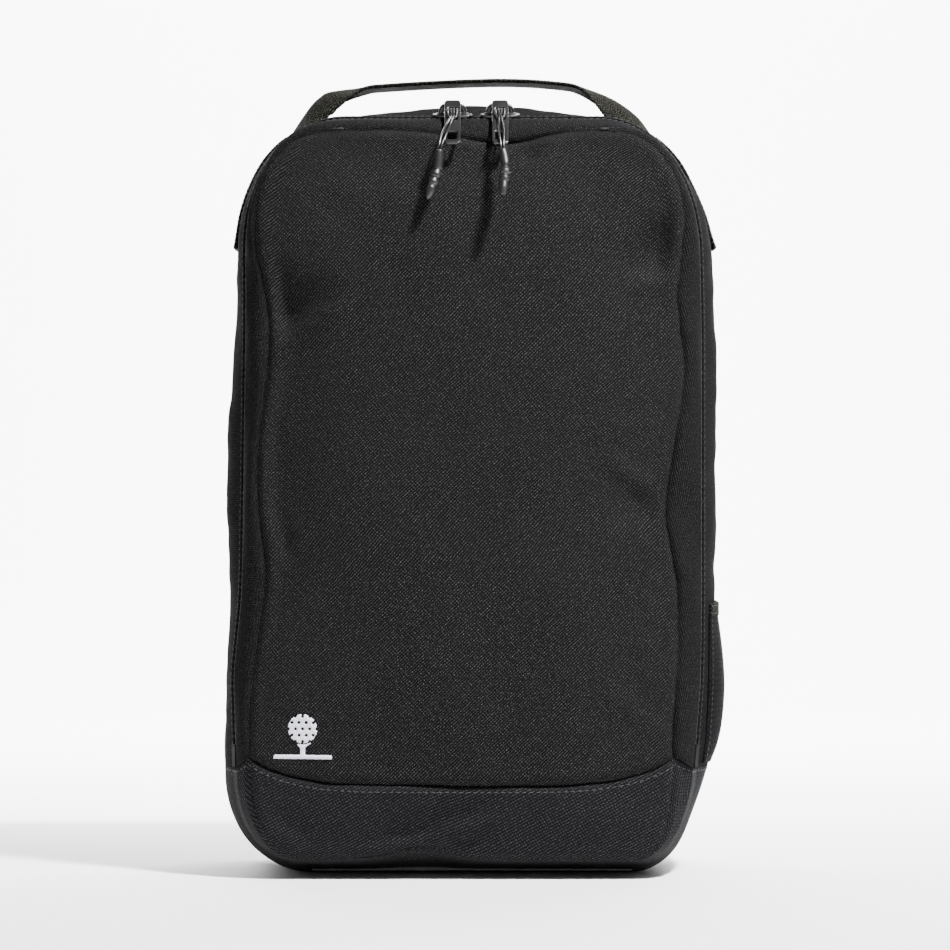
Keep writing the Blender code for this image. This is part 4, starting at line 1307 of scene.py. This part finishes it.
    def bindings(self) -> None:
        """The tapes that cover the raw edges inside."""
        w = self.wardrobe
        jobs = (
            ("front_seam_tape", FRONT_SEAM, ZIP_FRONT, Path.ARCH, "flap", "front_binding"),
            ("base_seam_tape", FRONT_SEAM, ZIP_FRONT, Path.CRADLE, "bag", "front_base_binding"),
            ("rear_seam_tape_upper", REAR_SEAM, CROWN_REAR, Path.ARCH, "bag", "rear_binding"),
            ("rear_seam_tape_lower", REAR_SEAM, CROWN_REAR, Path.CRADLE, "bag", ""),
        )
        for name, near, far, path, body, node in jobs:
            stations = [(near, far, s, s) for s in (0.20, 0.30, 0.40, 0.50)]
            flat = Strip(path, stations, self.binding_columns).grid()
            grid = pushed(flat, np.full(flat.shape[:2], -self.binding_depth))
            piece = cloth_shell(name, grid, w.tape, w.tape, TAPE)
            dress(piece, body, (node,) if node else (), fold=body == "flap")


@dataclass
class Emblem:
    """Satin-stitched golf ball on a tee, a generic mark low on the front.

    Heights are above the mark's centre. The ball's dimples lie in staggered rows. The tee is a
    stem from foot to neck that widens to a cup, and stands on a bar of ground.
    """

    centre: tuple[float, float] = (-77.8, 66.4)
    ball_radius: float = 6.7
    ball_height: float = 3.4
    ball_gap: float = 0.6
    dimple_radius: float = 0.75
    dimple_pitch: float = 3.3
    dimple_rise: float = 2.9
    tee_foot: float = -9.0
    tee_flare: float = -6.0
    tee_neck: float = -3.0
    tee_half: float = 1.1
    cup_flare: float = 3.4
    cup_half: float = 4.6
    ground: float = -9.6
    ground_half: tuple[float, float] = (13.4, 0.9)
    line_pitch: float = 0.36
    line_lean: float = math.radians(58)
    lines_each_side: int = 56
    line_reach: float = 20.0
    step: float = 0.12
    thread_radius: float = 0.22
    ray_from: float = -120.0
    proud: float = 0.24
    sunk: float = 0.1

    def inside(self, x: float, z: float) -> bool:
        """True where the mark is stitched."""
        u, v = x - self.centre[0], z - self.centre[1]
        ball_v = v - self.ball_height
        from_ball = math.hypot(u, ball_v)
        if from_ball < self.ball_radius:
            row = round(ball_v / self.dimple_rise)
            shift = self.dimple_pitch / 2 * (row % 2)
            column = round((u - shift) / self.dimple_pitch)
            return math.hypot(u - shift - self.dimple_pitch * column,
                              ball_v - self.dimple_rise * row) > self.dimple_radius
        opening = max(0.0, (v - self.tee_flare) / (self.tee_neck - self.tee_flare)) ** 2
        stem = min(self.tee_half + self.cup_flare * opening, self.cup_half)
        if (self.tee_foot < v < self.tee_neck and abs(u) < stem
                and from_ball > self.ball_radius + self.ball_gap):
            return True
        return abs(v - self.ground) < self.ground_half[1] and abs(u) < self.ground_half[0]

    def build(self, wardrobe: Wardrobe, cloth: np.ndarray) -> None:
        """Lays the threads over the front panel.

        Args:
            wardrobe: the bag's finishes.
            cloth: the front panel's grid.
        """
        columns = cloth.shape[1]
        corner_rows = 70
        polygons = quads(corner_rows, columns // 2, columns)
        tree = BVHTree.FromPolygons(cloth.reshape(-1, 3).tolist(), polygons)
        threads: list = []
        across, along = math.sin(self.line_lean), math.cos(self.line_lean)
        for number in range(-self.lines_each_side, self.lines_each_side + 1):
            shift = number * self.line_pitch
            run: list = []
            for place in np.arange(-self.line_reach, self.line_reach, self.step):
                x = self.centre[0] + shift * across + place * along
                z = self.centre[1] - shift * along + place * across
                if self.inside(x, z):
                    run.append((x, z))
                    continue
                threads += self.thread(tree, run)
                run = []
        finish = wardrobe.embroidery
        piece = merged("emblem", [tube(f"thread_{i}", path, self.thread_radius, finish, 6)
                                  for i, path in enumerate(threads)])
        dress(piece, "flap", fold=True)

    def thread(self, tree: BVHTree, run: list) -> list:
        """One satin thread over the cloth, its ends sunk in, or nothing if it is too short."""
        shortest, places_for_a_point = 6, 8
        if len(run) < shortest:
            return []
        share = np.linspace(0, 1, max(4, len(run) // places_for_a_point))
        path = []
        for s in share:
            x, z = run[int(s * (len(run) - 1))]
            hit = tree.ray_cast(Vector((x, self.ray_from, z)), Vector((0, 1, 0)))[0]
            proud = (self.proud + self.sunk) * min(1.0, 5 * min(s, 1 - s)) - self.sunk
            path.append((x, hit.y - proud, z))
        return [np.array(path)]


@dataclass
class Zip:
    """The zip's tapes, coils and end tabs, which lie in a band tilted towards the front.

    edge, slit and coil_reach are shares across the band, measured from its middle line. foot,
    tab_at and tab_half are shares along it, and the depths are millimetres under its surface.
    """

    wardrobe: Wardrobe
    beads: BeadRun
    columns: int = 660
    edge: float = 0.44
    slit: float = 0.035
    coil_reach: float = 0.16
    foot: float = 0.0105
    tape_depth: float = 1.0
    coil_depth: float = 2.6
    tooth_pitch: float = 1.3
    tooth_size: tuple[float, float, float] = (0.68, 1.05, 0.46)
    tilt: tuple[float, float, float] = (0, 0.94, 0.34)
    tab_at: float = 0.0075
    tab_half: float = 0.0068
    tab_proud: float = 0.45
    tab_thickness: float = 1.0

    def band(self, low: float, high: float, rows: int) -> np.ndarray:
        """A strip of the band between two shares across it, ending above the end tabs."""
        shares = np.linspace(low, high, rows)
        stations = [(ZIP_FRONT, ZIP_REAR, s, s) for s in shares]
        whole = Strip(Path.ARCH, stations, self.columns).grid()
        keep = int(self.foot * self.columns)
        return whole[:, keep:-keep]

    def build(self) -> None:
        """Makes both halves and the tabs."""
        w = self.wardrobe
        for body, word, sign in (("flap", "front", -1), ("bag", "rear", 1)):
            ends = sorted((0.5 + sign * self.slit, 0.5 + sign * (self.edge + 0.04)))
            tape = pushed(self.band(ends[0], ends[1], 6), np.full((6, 1), -self.tape_depth))
            piece = cloth_shell(f"{word}_tape", tape, w.tape, w.tape, TAPE)
            dress(piece, body, (f"{word}_zip_tape",), fold=body == "flap")
            middle = 0.5 + sign * (self.slit + self.coil_reach) / 2
            near = self.band(middle - 0.01, middle + 0.01, 3)
            line = pushed(near, np.full((3, 1), -self.coil_depth))[1]
            teeth = self.beads.lay(f"{word}_coil", [line], self.tooth_pitch, self.tooth_size,
                                   w.coil, self.tilt, 0.0)
            dress(teeth, body, (f"{word}_zip_coil",), fold=body == "flap")
        for side in Side:
            at = self.tab_at if side is Side.LEFT else 1 - self.tab_at
            shares = np.linspace(at - self.tab_half, at + self.tab_half, 9)
            first, last = ZIP_FRONT.arch(shares), ZIP_REAR.arch(shares)
            rows = [first + (last - first) * depth for depth in np.linspace(0.05, 0.95, 9)]
            grid = pushed(np.array(rows), np.full((9, 9), self.tab_proud))
            piece = cloth_shell(f"zip_foot_tab_{side.word}", grid, w.tape, w.tape,
                                self.tab_thickness)
            dress(piece, "bag", (f"zip_end_tab_{side.word}",))


# ---- Sliders, pullers and pulls ------------------------------------------------------------------
def placed(points: np.ndarray, origin: Sequence[float], angle: float) -> np.ndarray:
    """Turns points about X by an angle in radians and moves them to an origin."""
    turn = np.array(Matrix.Rotation(angle, 3, "X"))
    return points @ turn.T + np.array(origin)


def plate(
    name: str, outlines: Sequence[Sequence[tuple[float, float]]], thickness: float, bevel: float,
    finish: bpy.types.Material
) -> bpy.types.Object:
    """A flat plate with rounded edges from an outline and its holes, centred on z = 0.

    Args:
        name: the object's name.
        outlines: closed outlines in millimetres; the first is the outside.
        thickness: the plate's thickness.
        bevel: the rounding of its edges.
        finish: the material.
    Returns:
        The object.
    """
    shape = bpy.data.curves.new(name, "CURVE")
    shape.dimensions = "2D"
    shape.fill_mode = "BOTH"
    shape.extrude = (thickness / 2 - bevel) * MM
    shape.bevel_depth = bevel * MM
    shape.bevel_resolution = 2
    shape.offset = -bevel * MM
    for outline in outlines:
        spline = shape.splines.new("POLY")
        spline.points.add(len(outline) - 1)
        for point, (x, y) in zip(spline.points, outline):
            point.co = (x * MM, y * MM, 0, 1)
        spline.use_cyclic_u = True
    mesh = plain_mesh(linked(name + "_curve", shape))
    faces = [tuple(p.vertices) for p in mesh.polygons]
    return new_object(name, points_of(mesh), faces, (finish,))


def rounded(low: tuple[float, float], high: tuple[float, float], radius: float) -> list:
    """A rounded rectangle as a closed outline."""
    made = []
    corners = ((high[0] - radius, high[1] - radius, 0), (low[0] + radius, high[1] - radius, 90),
               (low[0] + radius, low[1] + radius, 180), (high[0] - radius, low[1] + radius, 270))
    for x, y, first in corners:
        for step in range(7):
            angle = math.radians(first + 15 * step)
            made.append((x + radius * math.cos(angle), y + radius * math.sin(angle)))
    return made


@dataclass
class SliderSet:
    """One zip slider with its puller plate, hitched cord and moulded grip.

    lean is how far the cord drifts sideways, in millimetres. swing and lift turn the grip
    sideways and forwards, in radians.
    """

    wardrobe: Wardrobe
    side: Side
    lean: float
    swing: float
    lift: float
    pair_middle: tuple[float, float, float] = (2.0, -38.0, 352.4)
    half_spacing: float = 11.0
    zip_tilt: float = math.radians(12.0)
    puller_angle: float = math.radians(46.0)
    bar_height: float = 5.6
    puller_width: float = 7.5
    puller_length: float = 29.5
    puller_thickness: float = 1.4
    puller_offset: float = 1.5
    crossbar_at: float = 8.6
    crossbar_half: float = 1.1
    upper_slot: float = 2.7
    lower_slot: float = 3.7
    slot_half: float = 2.4
    knuckle_radius: float = 2.0
    knuckle_width: float = 5.0
    strand: float = 0.62
    strand_apart: float = 0.68
    grip_drop: float = 22.4
    grip_away: float = 25.0
    grip_length: float = 23.9

    @property
    def origin(self) -> tuple[float, float, float]:
        """The middle of the slider on the zip band."""
        x, y, z = self.pair_middle
        return (x + self.side.value * self.half_spacing, y, z)

    @property
    def bar(self) -> np.ndarray:
        """The middle of the slider's bar."""
        return placed(np.array([[0.0, 0.0, self.bar_height]]), self.origin, self.zip_tilt)[0]

    def settle(
        self, piece: bpy.types.Object, origin: Sequence[float], angle: float
    ) -> bpy.types.Object:
        """Moves a piece built about its own axis to its place in the bag."""
        set_points(piece.data, placed(points_of(piece.data), origin, angle))
        return piece

    def build(self) -> None:
        """Makes the slider, its puller and its pull."""
        self.slider()
        self.puller()
        self.cord()
        self.grip()

    def slider(self) -> None:
        """Two shaped wings joined by a post, with a bridge that holds the puller."""
        finish = self.wardrobe.metal
        nose = self.side.value
        outline = [(-9.1, 2.9), (-8.2, 3.6), (-3.6, 4.1), (1.9, 4.5), (7.0, 4.4), (9.0, 3.4),
                   (9.2, 1.9), (6.6, 0.0), (9.2, -1.9), (9.0, -3.4), (7.0, -4.4), (1.9, -4.5),
                   (-3.6, -4.1), (-8.2, -3.6), (-9.1, -2.9)]
        outline = [(-nose * x, y) for x, y in outline]
        if nose > 0:
            outline = outline[::-1]
        parts = []
        for height in (0.95, -3.75):
            wing = plate("wing", [outline], 1.3, 0.35, finish)
            parts.append(self.settle(wing, (0, 0, height), 0))
        ridge = plate("ridge", [rounded((-7.4, -1.6), (7.4, 1.6), 1.2)], 1.0, 0.4, finish)
        parts.append(self.settle(ridge, (0, 0, 1.75), 0))
        post = np.array([(-nose * 5.4, 0, z) for z in (-3.6, -1.5, 0.8)])
        parts.append(tube("post", post, 0.45, finish, 8))
        rise = [(-5.3, 0, 1.3), (-5.2, 0, 3.4), (-4.3, 0, 5.15), (-2.7, 0, self.bar_height)]
        fall = [(-x, y, z) for x, y, z in rise[::-1]]
        bridge = catmull(rise + [(0, 0, self.bar_height)] + fall, 5)
        thick = np.interp(np.abs(bridge[:, 0]), (2.4, 4.6), (0.8, 1.25))
        parts.append(tube("bridge", bridge, thick, finish, 14))
        piece = merged(f"slider_body_{self.side.word}", parts)
        self.settle(piece, self.origin, self.zip_tilt)
        dress(piece, f"slider_{self.side.word}", (f"slider_{self.side.word}",))

    def puller(self) -> None:
        """A long plate with a slot for the cord, a crossbar, a window and a rolled eye."""
        half = self.puller_width / 2
        middle = self.puller_offset + self.puller_thickness / 2
        outline = rounded((-half, -self.puller_length), (half, 0.6), 1.7)
        bar = -self.crossbar_at
        rim = self.crossbar_half
        upper = rounded((-self.slot_half, bar + rim), (self.slot_half, bar + rim + self.upper_slot),
                        0.9)
        lower = rounded((-self.slot_half, bar - rim - self.lower_slot), (self.slot_half, bar - rim),
                        0.9)
        window = rounded((-2.35, -27.0), (2.35, -21.2), 0.8)
        finish = self.wardrobe.metal
        body = plate("plate", [outline, upper, lower, window], self.puller_thickness, 0.3, finish)
        self.settle(body, (0, 0, middle), 0)
        eye = [(self.knuckle_radius * math.cos(a), self.knuckle_radius * math.sin(a))
               for a in np.linspace(0, 2 * math.pi, 29)[:-1]]
        bore = [(0.5 * x, 0.5 * y) for x, y in eye]
        knuckle = plate("knuckle", [eye, bore], self.knuckle_width, 0.3, finish)
        set_points(knuckle.data, points_of(knuckle.data)[:, [2, 0, 1]])
        piece = merged(f"puller_plate_{self.side.word}", [body, knuckle])
        self.settle(piece, self.bar, self.puller_angle)
        dress(piece, f"puller_{self.side.word}", (f"puller_{self.side.word}",))

    def grip_top(self) -> np.ndarray:
        """Where the grip's top lies in the puller's frame."""
        c, s = math.cos(self.puller_angle), math.sin(self.puller_angle)
        along = self.grip_away * c + self.grip_drop * s
        out = self.grip_away * s - self.grip_drop * c
        return np.array([self.lean, -along, out])

    def cord(self) -> None:
        """A doubled cord hitched to the crossbar, its strands drawn together into the grip."""
        face = self.puller_offset + self.puller_thickness + self.strand + 0.25
        middle = self.puller_offset + self.puller_thickness / 2
        turn = 1.22 + self.strand + 0.15
        bar = -self.crossbar_at
        end = self.grip_top()

        def round_bar(x: float, degrees: Sequence[float]) -> list:
            """Points round the crossbar at a place along it."""
            return [(x, bar + turn * math.sin(math.radians(a)),
                     middle + turn * math.cos(math.radians(a))) for a in degrees]

        parts = []
        for x in (-self.strand_apart, self.strand_apart):
            wrap = round_bar(x, (150, 110, 70, 35, 0))
            run = [(x * 0.8, bar - 2.4, face + 0.25),
                   (x * 0.7, bar - 4.6, face + 0.75),
                   (x * 1.2 + 0.3 * self.lean, -18.2, face + 0.25),
                   (x * 1.5 + 0.62 * self.lean, -25.5, face + 0.7),
                   (x + 0.86 * self.lean, -0.45 * 27.6 + 0.55 * end[1],
                    0.42 * face + 0.58 * end[2] + 0.6),
                   (x + self.lean, end[1], end[2])]
            parts.append(tube("strand", catmull(wrap + run, 7), self.strand,
                              self.wardrobe.cord, 10))
        bight = round_bar(-2.0, (150, 100, 50, 10))
        bight += [(-1.95, bar - 2.2, face), (-1.5, bar - 3.9, face - 0.1),
                  (0, bar - 4.6, face - 0.45)]
        bight += [(-x, y, z) for x, y, z in bight[-2::-1]]
        parts.append(tube("bight", catmull(bight, 7), self.strand, self.wardrobe.cord, 10))
        piece = merged(f"pull_cord_{self.side.word}", parts)
        self.settle(piece, self.bar, self.puller_angle)
        dress(piece, f"pull_{self.side.word}", (f"cord_{self.side.word}",))

    def grip(self) -> None:
        """A moulded grip with a collar, two knuckles and a tapered tip."""
        marks = [(0, 0.0), (0.15, 1.5), (0.5, 1.95), (1.4, 2.1), (7.6, 2.15), (8.6, 1.95),
                 (9.4, 1.6), (10.4, 2.1), (11.4, 2.6), (12.6, 2.5), (13.4, 1.7), (14.2, 2.0),
                 (15.2, 2.6), (16.3, 2.4), (17.0, 1.8), (18.4, 2.25), (20.5, 2.1), (22.4, 1.5),
                 (23.5, 0.8), (self.grip_length, 0.0)]
        down = np.linspace(0, self.grip_length, 110)
        thinnest = 0.02
        radius = np.maximum(np.interp(down, *zip(*marks)), thinnest)
        bend = np.sin(1.5 * np.pi * down / 24)
        path = np.stack([0.9 * bend, 0.3 * bend, -down], axis=1)
        piece = tube(f"pull_grip_{self.side.word}", path, radius, self.wardrobe.rubber, 24)
        tilt = Matrix.Rotation(self.swing, 3, "Y")
        lift = Matrix.Rotation(-self.lift, 3, "X")
        turn = np.array(lift @ tilt)
        hung = placed(points_of(piece.data) @ turn.T, (0, 0, 0), -self.puller_angle)
        set_points(piece.data, placed(hung + self.grip_top(), self.bar, self.puller_angle))
        dress(piece, f"pull_{self.side.word}", (f"sleeve_{self.side.word}",))


# ---- Handle --------------------------------------------------------------------------------------
@dataclass
class Webbing:
    """Ribbed webbing swept along a path, woven with ribs across its width.

    rib and cord are the ribs' pitch along and across. edge is the width over which the webbing
    thins, and edge_share the share of its thickness left at the very edge.
    """

    width: float = 25.0
    thickness: float = 2.0
    rib: float = 1.6
    relief: float = 0.22
    cord: float = 2.5
    edge: float = 1.2
    edge_share: float = 0.42
    places: int = 21

    def sweep(
        self, name: str, path: np.ndarray, wide: np.ndarray, finish: bpy.types.Material,
        cup: np.ndarray | float = 0.0,
    ) -> bpy.types.Object:
        """Makes the webbing as a closed mesh.

        Args:
            name: the object's name.
            path: middle line, in millimetres.
            wide: unit direction of the width at each point.
            finish: the material.
            cup: how far the two edges hang below the middle at each point.
        Returns:
            The object.
        """
        out = unit(np.cross(wide, unit(np.gradient(path, axis=0))))
        run = path_run(path)
        half = self.width / 2
        over = np.linspace(-half, half, self.places)
        across = np.concatenate([over, over[::-1]])
        face = np.repeat((1, -1), self.places)
        plump = np.clip((half - np.abs(across)) / self.edge, 0.0, 1.0) ** 0.5
        count = len(across)
        points = np.zeros((len(path), count, 3))
        cord = np.floor((across + half) / self.cord)
        for k in range(count):
            phase = 0.5 * (cord[k] % 2)
            rib = np.abs(np.sin(np.pi * (run / self.rib + phase)))
            full = self.edge_share + (1 - self.edge_share) * plump[k]
            height = full * self.thickness / 2 - self.relief * (1 - rib)
            hang = face[k] * height + cup * (across[k] / half) ** 2
            points[:, k] = path + wide * across[k] + out * hang[:, None]
        faces = ring_faces(len(path), count)
        made = new_object(name, points.reshape(-1, 3), faces, (finish,))
        uv = np.stack(np.broadcast_arrays(across[None, :] * MM, run[:, None] * MM), axis=2)
        write_uv(made.data, uv.reshape(-1, 2))
        made.data.update()
        if signed_volume(made.data) < 0:
            made.data.flip_normals()
        return made


def signed_volume(mesh: bpy.types.Mesh) -> float:
    """Volume of a mesh in cubic millimetres, negative if its faces point inwards."""
    mesh.calc_loop_triangles()
    points = points_of(mesh)
    corners = np.array([t.vertices for t in mesh.loop_triangles])
    a, b, c = (points[corners[:, i]] for i in range(3))
    return float(np.sum(a * np.cross(b, c)) / 6)


@dataclass
class Handle:
    """The carry handle: a webbing loop whose two ends are sewn down the sides.

    Places down a side are degrees round the bag's top corner. Each end's foot flares off the cloth.
    """

    wardrobe: Wardrobe
    beads: BeadRun
    y: float = 5.0
    webbing: Webbing = field(default_factory=Webbing)
    spacing: float = 0.32
    foot_degrees: float = 3.0
    head_degrees: float = 60.0
    lift_off: float = 1.15
    flared_degrees: float = 9.0
    left_flare: float = 0.4
    right_flare: float = 1.4
    box_degrees: tuple[float, float] = (12, 44)
    box_half: float = 9.5
    stitch_pitch: float = 2.6
    stitch_size: tuple[float, float, float] = (0.24, 0.3, 1.0)

    def build(self) -> None:
        """Makes the loop and the two sewn ends."""
        self.loop()
        for side in Side:
            self.sewn_end(side)

    def end_point(self, side: Side, degrees: float) -> np.ndarray:
        """A point of the sewn end's middle line at an angle round the top corner."""
        share = SIDE_SHARE + CORNER_SHARE * degrees / 90
        place = CROWN_FRONT.arch(np.array([share if side is Side.LEFT else 1 - share]))[0]
        angle = math.radians(degrees)
        out = np.array([side.value * math.cos(angle), 0, math.sin(angle)])
        flare = self.right_flare if side is Side.RIGHT else self.left_flare
        free = flare * max(0.0, 1 - (degrees - self.foot_degrees) / self.flared_degrees) ** 2
        return np.array([place[0], self.y, place[2]]) + out * (self.lift_off + free)

    def loop(self) -> None:
        """The part that a hand lifts; it twists towards the front near its roots."""
        left = [self.end_point(Side.LEFT, d) for d in (54, 61)]
        right = [self.end_point(Side.RIGHT, d) for d in (61, 54)]
        y = self.y
        corners = left + [(-81.2, y, 353.9), (-76.2, y, 361.0), (-72.0, y, 365.2),
                          (-66.0, y, 368.0), (-44.0, y, 370.2), (-10.0, y, 372.2),
                          (20.0, y, 372.8), (46.0, y, 370.8), (60.0, y, 367.2),
                          (70.0, y, 362.2), (78.6, y, 355.4)] + right
        path = evened(catmull(corners, 14), self.spacing)
        twist = np.zeros(len(path))
        x = path[:, 0]
        twist += np.radians(12) * smoothstep((-50 - x) / 20) * smoothstep((x + 92) / 8)
        twist -= np.radians(14) * smoothstep((x - 50) / 22) * smoothstep((93 - x) / 8)
        cup = 8.0 * smoothstep((-46 - x) / 26) * smoothstep((x + 88) / 13)
        cup += 7.0 * smoothstep((x - 46) / 24) * smoothstep((88 - x) / 13)
        wide = np.stack([np.zeros_like(x), np.cos(twist), np.sin(np.abs(twist))], axis=1)
        tangents = unit(np.gradient(path, axis=0))
        wide = unit(wide - tangents * np.sum(wide * tangents, axis=1, keepdims=True))
        piece = self.webbing.sweep("handle_loop", path, wide, self.wardrobe.webbing, cup)
        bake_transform(piece)
        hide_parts("handle_strap")

    def sewn_end(self, side: Side) -> None:
        """One end sewn flat to the side, with a stitched box and its cross."""
        degrees = np.linspace(self.foot_degrees, self.head_degrees, 80)
        line = np.array([self.end_point(side, d) for d in degrees])
        path = evened(line, self.spacing)
        wide = np.tile((0.0, 1.0, 0.0), (len(path), 1))
        piece = self.webbing.sweep(f"handle_tab_{side.word}", path, wide, self.wardrobe.webbing)
        dress(piece, "bag", (f"handle_end_{side.word}",))
        angles = np.linspace(*self.box_degrees, 50)
        mid = np.array([self.end_point(side, d) for d in angles])
        out = np.stack([side.value * np.cos(np.radians(angles)), 0 * angles,
                        np.sin(np.radians(angles))], axis=1)
        surface = mid + out * (self.webbing.thickness / 2)
        shift = np.array((0.0, 1.0, 0.0))
        near, far = surface - self.box_half * shift, surface + self.box_half * shift
        box = np.concatenate([near, far[::-1], near[:1]])
        share = np.linspace(-self.box_half, self.box_half, len(angles))[:, None]
        lines = [box, surface + shift * share, surface - shift * share]
        stitches = self.beads.lay(f"handle_stitches_{side.word}", lines, self.stitch_pitch,
                                  self.stitch_size, self.wardrobe.thread, seed=5)
        dress(stitches, "bag")


# ---- Side pocket ---------------------------------------------------------------------------------
@dataclass
class SidePocket:
    """The net pocket low on the right side, gathered by an elastic hem."""

    wardrobe: Wardrobe
    beads: BeadRun
    foot: float = 52.0
    height: float = 68.6
    front_y: float = -29.0
    rear_y: float = 40.0
    belly: float = 4.2
    hem: float = 6.0
    net_thickness: float = 0.8
    hem_thickness: float = 1.4
    stitch_pitch: float = 2.6
    stitch_size: tuple[float, float, float] = (0.2, 0.26, 0.9)

    def wall(self, y: float, z: float) -> float:
        """X of the bag's right side at a depth and height."""
        height = np.array(z)
        if y < CROWN_FRONT.y:
            share = (y - ZIP_REAR.y) / (CROWN_FRONT.y - ZIP_REAR.y)
            near, far, mix = ZIP_REAR, CROWN_FRONT, 1 - (1 - share) ** 2
        elif y < CROWN_REAR.y:
            near, far, mix = CROWN_FRONT, CROWN_REAR, 0.0
        else:
            share = (y - CROWN_REAR.y) / (REAR_SEAM.y - CROWN_REAR.y)
            near, far, mix = CROWN_REAR, REAR_SEAM, share**2
        return float(near.side_x(1, height) * (1 - mix) + far.side_x(1, height) * mix)

    def grid(self, low: float, high: float, rows: int, proud: Callable) -> np.ndarray:
        """Points over the side between two heights; proud gives the distance off the wall."""
        made = []
        for z in np.linspace(low, high, rows):
            row = []
            for share in np.linspace(0, 1, 41):
                y = self.front_y + (self.rear_y - self.front_y) * share
                row.append((self.wall(y, z) + proud(share, (z - self.foot) / self.height), y, z))
            made.append(row)
        return np.array(made)

    def net_stand(self, share: float, up: float) -> float:
        """Distance of the net off the wall: a belly, with small gathers under the hem."""
        across = 1 - abs(2 * share - 1) ** 3
        gather = 0.25 * math.sin(share * 60) * smoothstep((up - 0.6) / 0.4)
        return 0.9 + across * (self.belly * math.sin(math.pi * min(up, 1)) + 1.2 * up + gather)

    def hem_stand(self, share: float, _up: float) -> float:
        """Distance of the elastic hem off the wall, the same all the way up, with gathers."""
        across = 1 - abs(2 * share - 1) ** 3
        return 1.6 + across * (0.9 + 0.3 * math.sin(share * 75))

    def build(self) -> None:
        """Makes the net, its hem and the stitches that hold them."""
        w = self.wardrobe
        top = self.foot + self.height
        tucked = 0.5
        net_grid = self.grid(self.foot, top + tucked, 40, self.net_stand)
        hem_grid = self.grid(top, top + self.hem, 10, self.hem_stand)
        piece = cloth_shell("pocket_net", net_grid, w.net, w.net, self.net_thickness)
        dress(piece, "bag", ("side_pocket",))
        piece = cloth_shell("pocket_hem", hem_grid, w.webbing, w.webbing, self.hem_thickness)
        dress(piece, "bag", ("side_pocket_hem",))
        lines = [on_grid(hem_grid, [(r, s) for s in np.linspace(0.01, 0.99, 60)], PROUD)
                 for r in (0.2, 0.8)]
        lines += [on_grid(net_grid, [(s, c) for s in np.linspace(0.02, 1, 60)], 2 * PROUD)
                  for c in (0.03, 0.97)]
        stitches = self.beads.lay("pocket_stitches", lines, self.stitch_pitch,
                                  self.stitch_size, w.thread)
        dress(stitches, "bag")


# ---- Studio --------------------------------------------------------------------------------------
@dataclass
class Studio:
    """A pale floor that sweeps up behind the bag, soft lights and the camera.

    The floor's sizes are in metres, but for its drop below the bag, which is in millimetres.
    """

    wardrobe: Wardrobe
    floor_half: float = 3.0
    sweep_start: float = 1.2
    sweep_radius: float = 0.6
    wall_top: float = 3.2
    floor_drop: float = 0.2
    lens_mm: float = 143.8
    sensor_mm: float = 36.0
    camera_place: tuple[float, float, float] = (0.0014, -1.8, 0.1864)
    key_watts: float = 104.0
    fill_watts: float = 0.8
    backdrop_watts: float = 64.0
    sky: float = 0.18

    def build(self) -> None:
        """Makes the floor, the lights and the camera."""
        start, radius, half = self.sweep_start, self.sweep_radius, self.floor_half
        profile = [(-half, 0.0), (start, 0.0)]
        profile += [(start + radius * math.sin(a), radius - radius * math.cos(a))
                    for a in np.linspace(0.1, math.pi / 2, 14)]
        profile += [(start + radius, self.wall_top)]
        across = np.linspace(-half, half, 9)
        grid = np.array([[(x, y, z) for x in across] for y, z in profile]) / MM
        grid[..., 2] -= self.floor_drop
        faces = quads(len(profile) - 1, len(across) - 1, len(across))
        floor = new_object("studio_floor", grid.reshape(-1, 3), faces, (self.wardrobe.floor,))
        self.light("key", 43, 59, 1.5, 0.13, self.key_watts)
        self.light("fill", -35, 20, 2.6, 1.8, self.fill_watts)
        for word, around in (("left", -40), ("right", 40)):
            self.light(f"backdrop_{word}", around, 48, 1.1, 1.0, self.backdrop_watts,
                       (0.0, 1.5, 0.1))
        world = bpy.data.worlds.new("soft_sky")
        world.use_nodes = True
        back = world.node_tree.nodes["Background"]
        back.inputs[0].default_value = (1.0, 1.0, 1.0, 1.0)
        back.inputs[1].default_value = self.sky
        bpy.context.scene.world = world
        lens = bpy.data.cameras.new("camera")
        lens.lens = self.lens_mm
        lens.sensor_width = self.sensor_mm
        camera = linked("camera", lens)
        camera.location = self.camera_place
        camera.rotation_euler = (math.pi / 2, 0, 0)
        bpy.context.scene.camera = camera

    def light(
        self, name: str, around: float, up: float, away: float, size: float, watts: float,
        target: tuple[float, float, float] = (0.0, 0.0, 0.18),
    ) -> None:
        """Hangs a square area light that points at a target.

        Args:
            name: the light's name.
            around: degrees to the right of the front.
            up: degrees above level.
            away: distance in metres.
            size: side of the light in metres.
            watts: its power.
            target: the point that it lights.
        """
        lamp = bpy.data.lights.new(name, "AREA")
        lamp.size = size
        lamp.energy = watts
        holder = linked(name, lamp)
        a, e = math.radians(around), math.radians(up)
        offset = Vector((math.sin(a) * math.cos(e), -math.cos(a) * math.cos(e), math.sin(e)))
        holder.location = Vector(target) + offset * away
        holder.rotation_euler = offset.to_track_quat("Z", "Y").to_euler()


def main() -> None:
    """Builds the bag and its studio in order."""
    logging.basicConfig(level=logging.INFO, format="%(name)s: %(message)s")
    wardrobe = Wardrobe()
    beads = BeadRun()
    shell = Shell(wardrobe, beads)
    shell.build()
    Emblem().build(wardrobe, shell.front_grid)
    Zip(wardrobe, beads).build()
    for side, lean, swing, lift in ((Side.LEFT, -6.0, 10.0, 6.0), (Side.RIGHT, 1.0, -3.0, 24.0)):
        SliderSet(wardrobe, side, lean, math.radians(swing), math.radians(lift)).build()
    Handle(wardrobe, beads).build()
    SidePocket(wardrobe, beads).build()
    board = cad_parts["base_board"]
    board.data.materials.clear()
    board.data.materials.append(wardrobe.board)
    Studio(wardrobe).build()


if __name__ == "__main__":
    main()
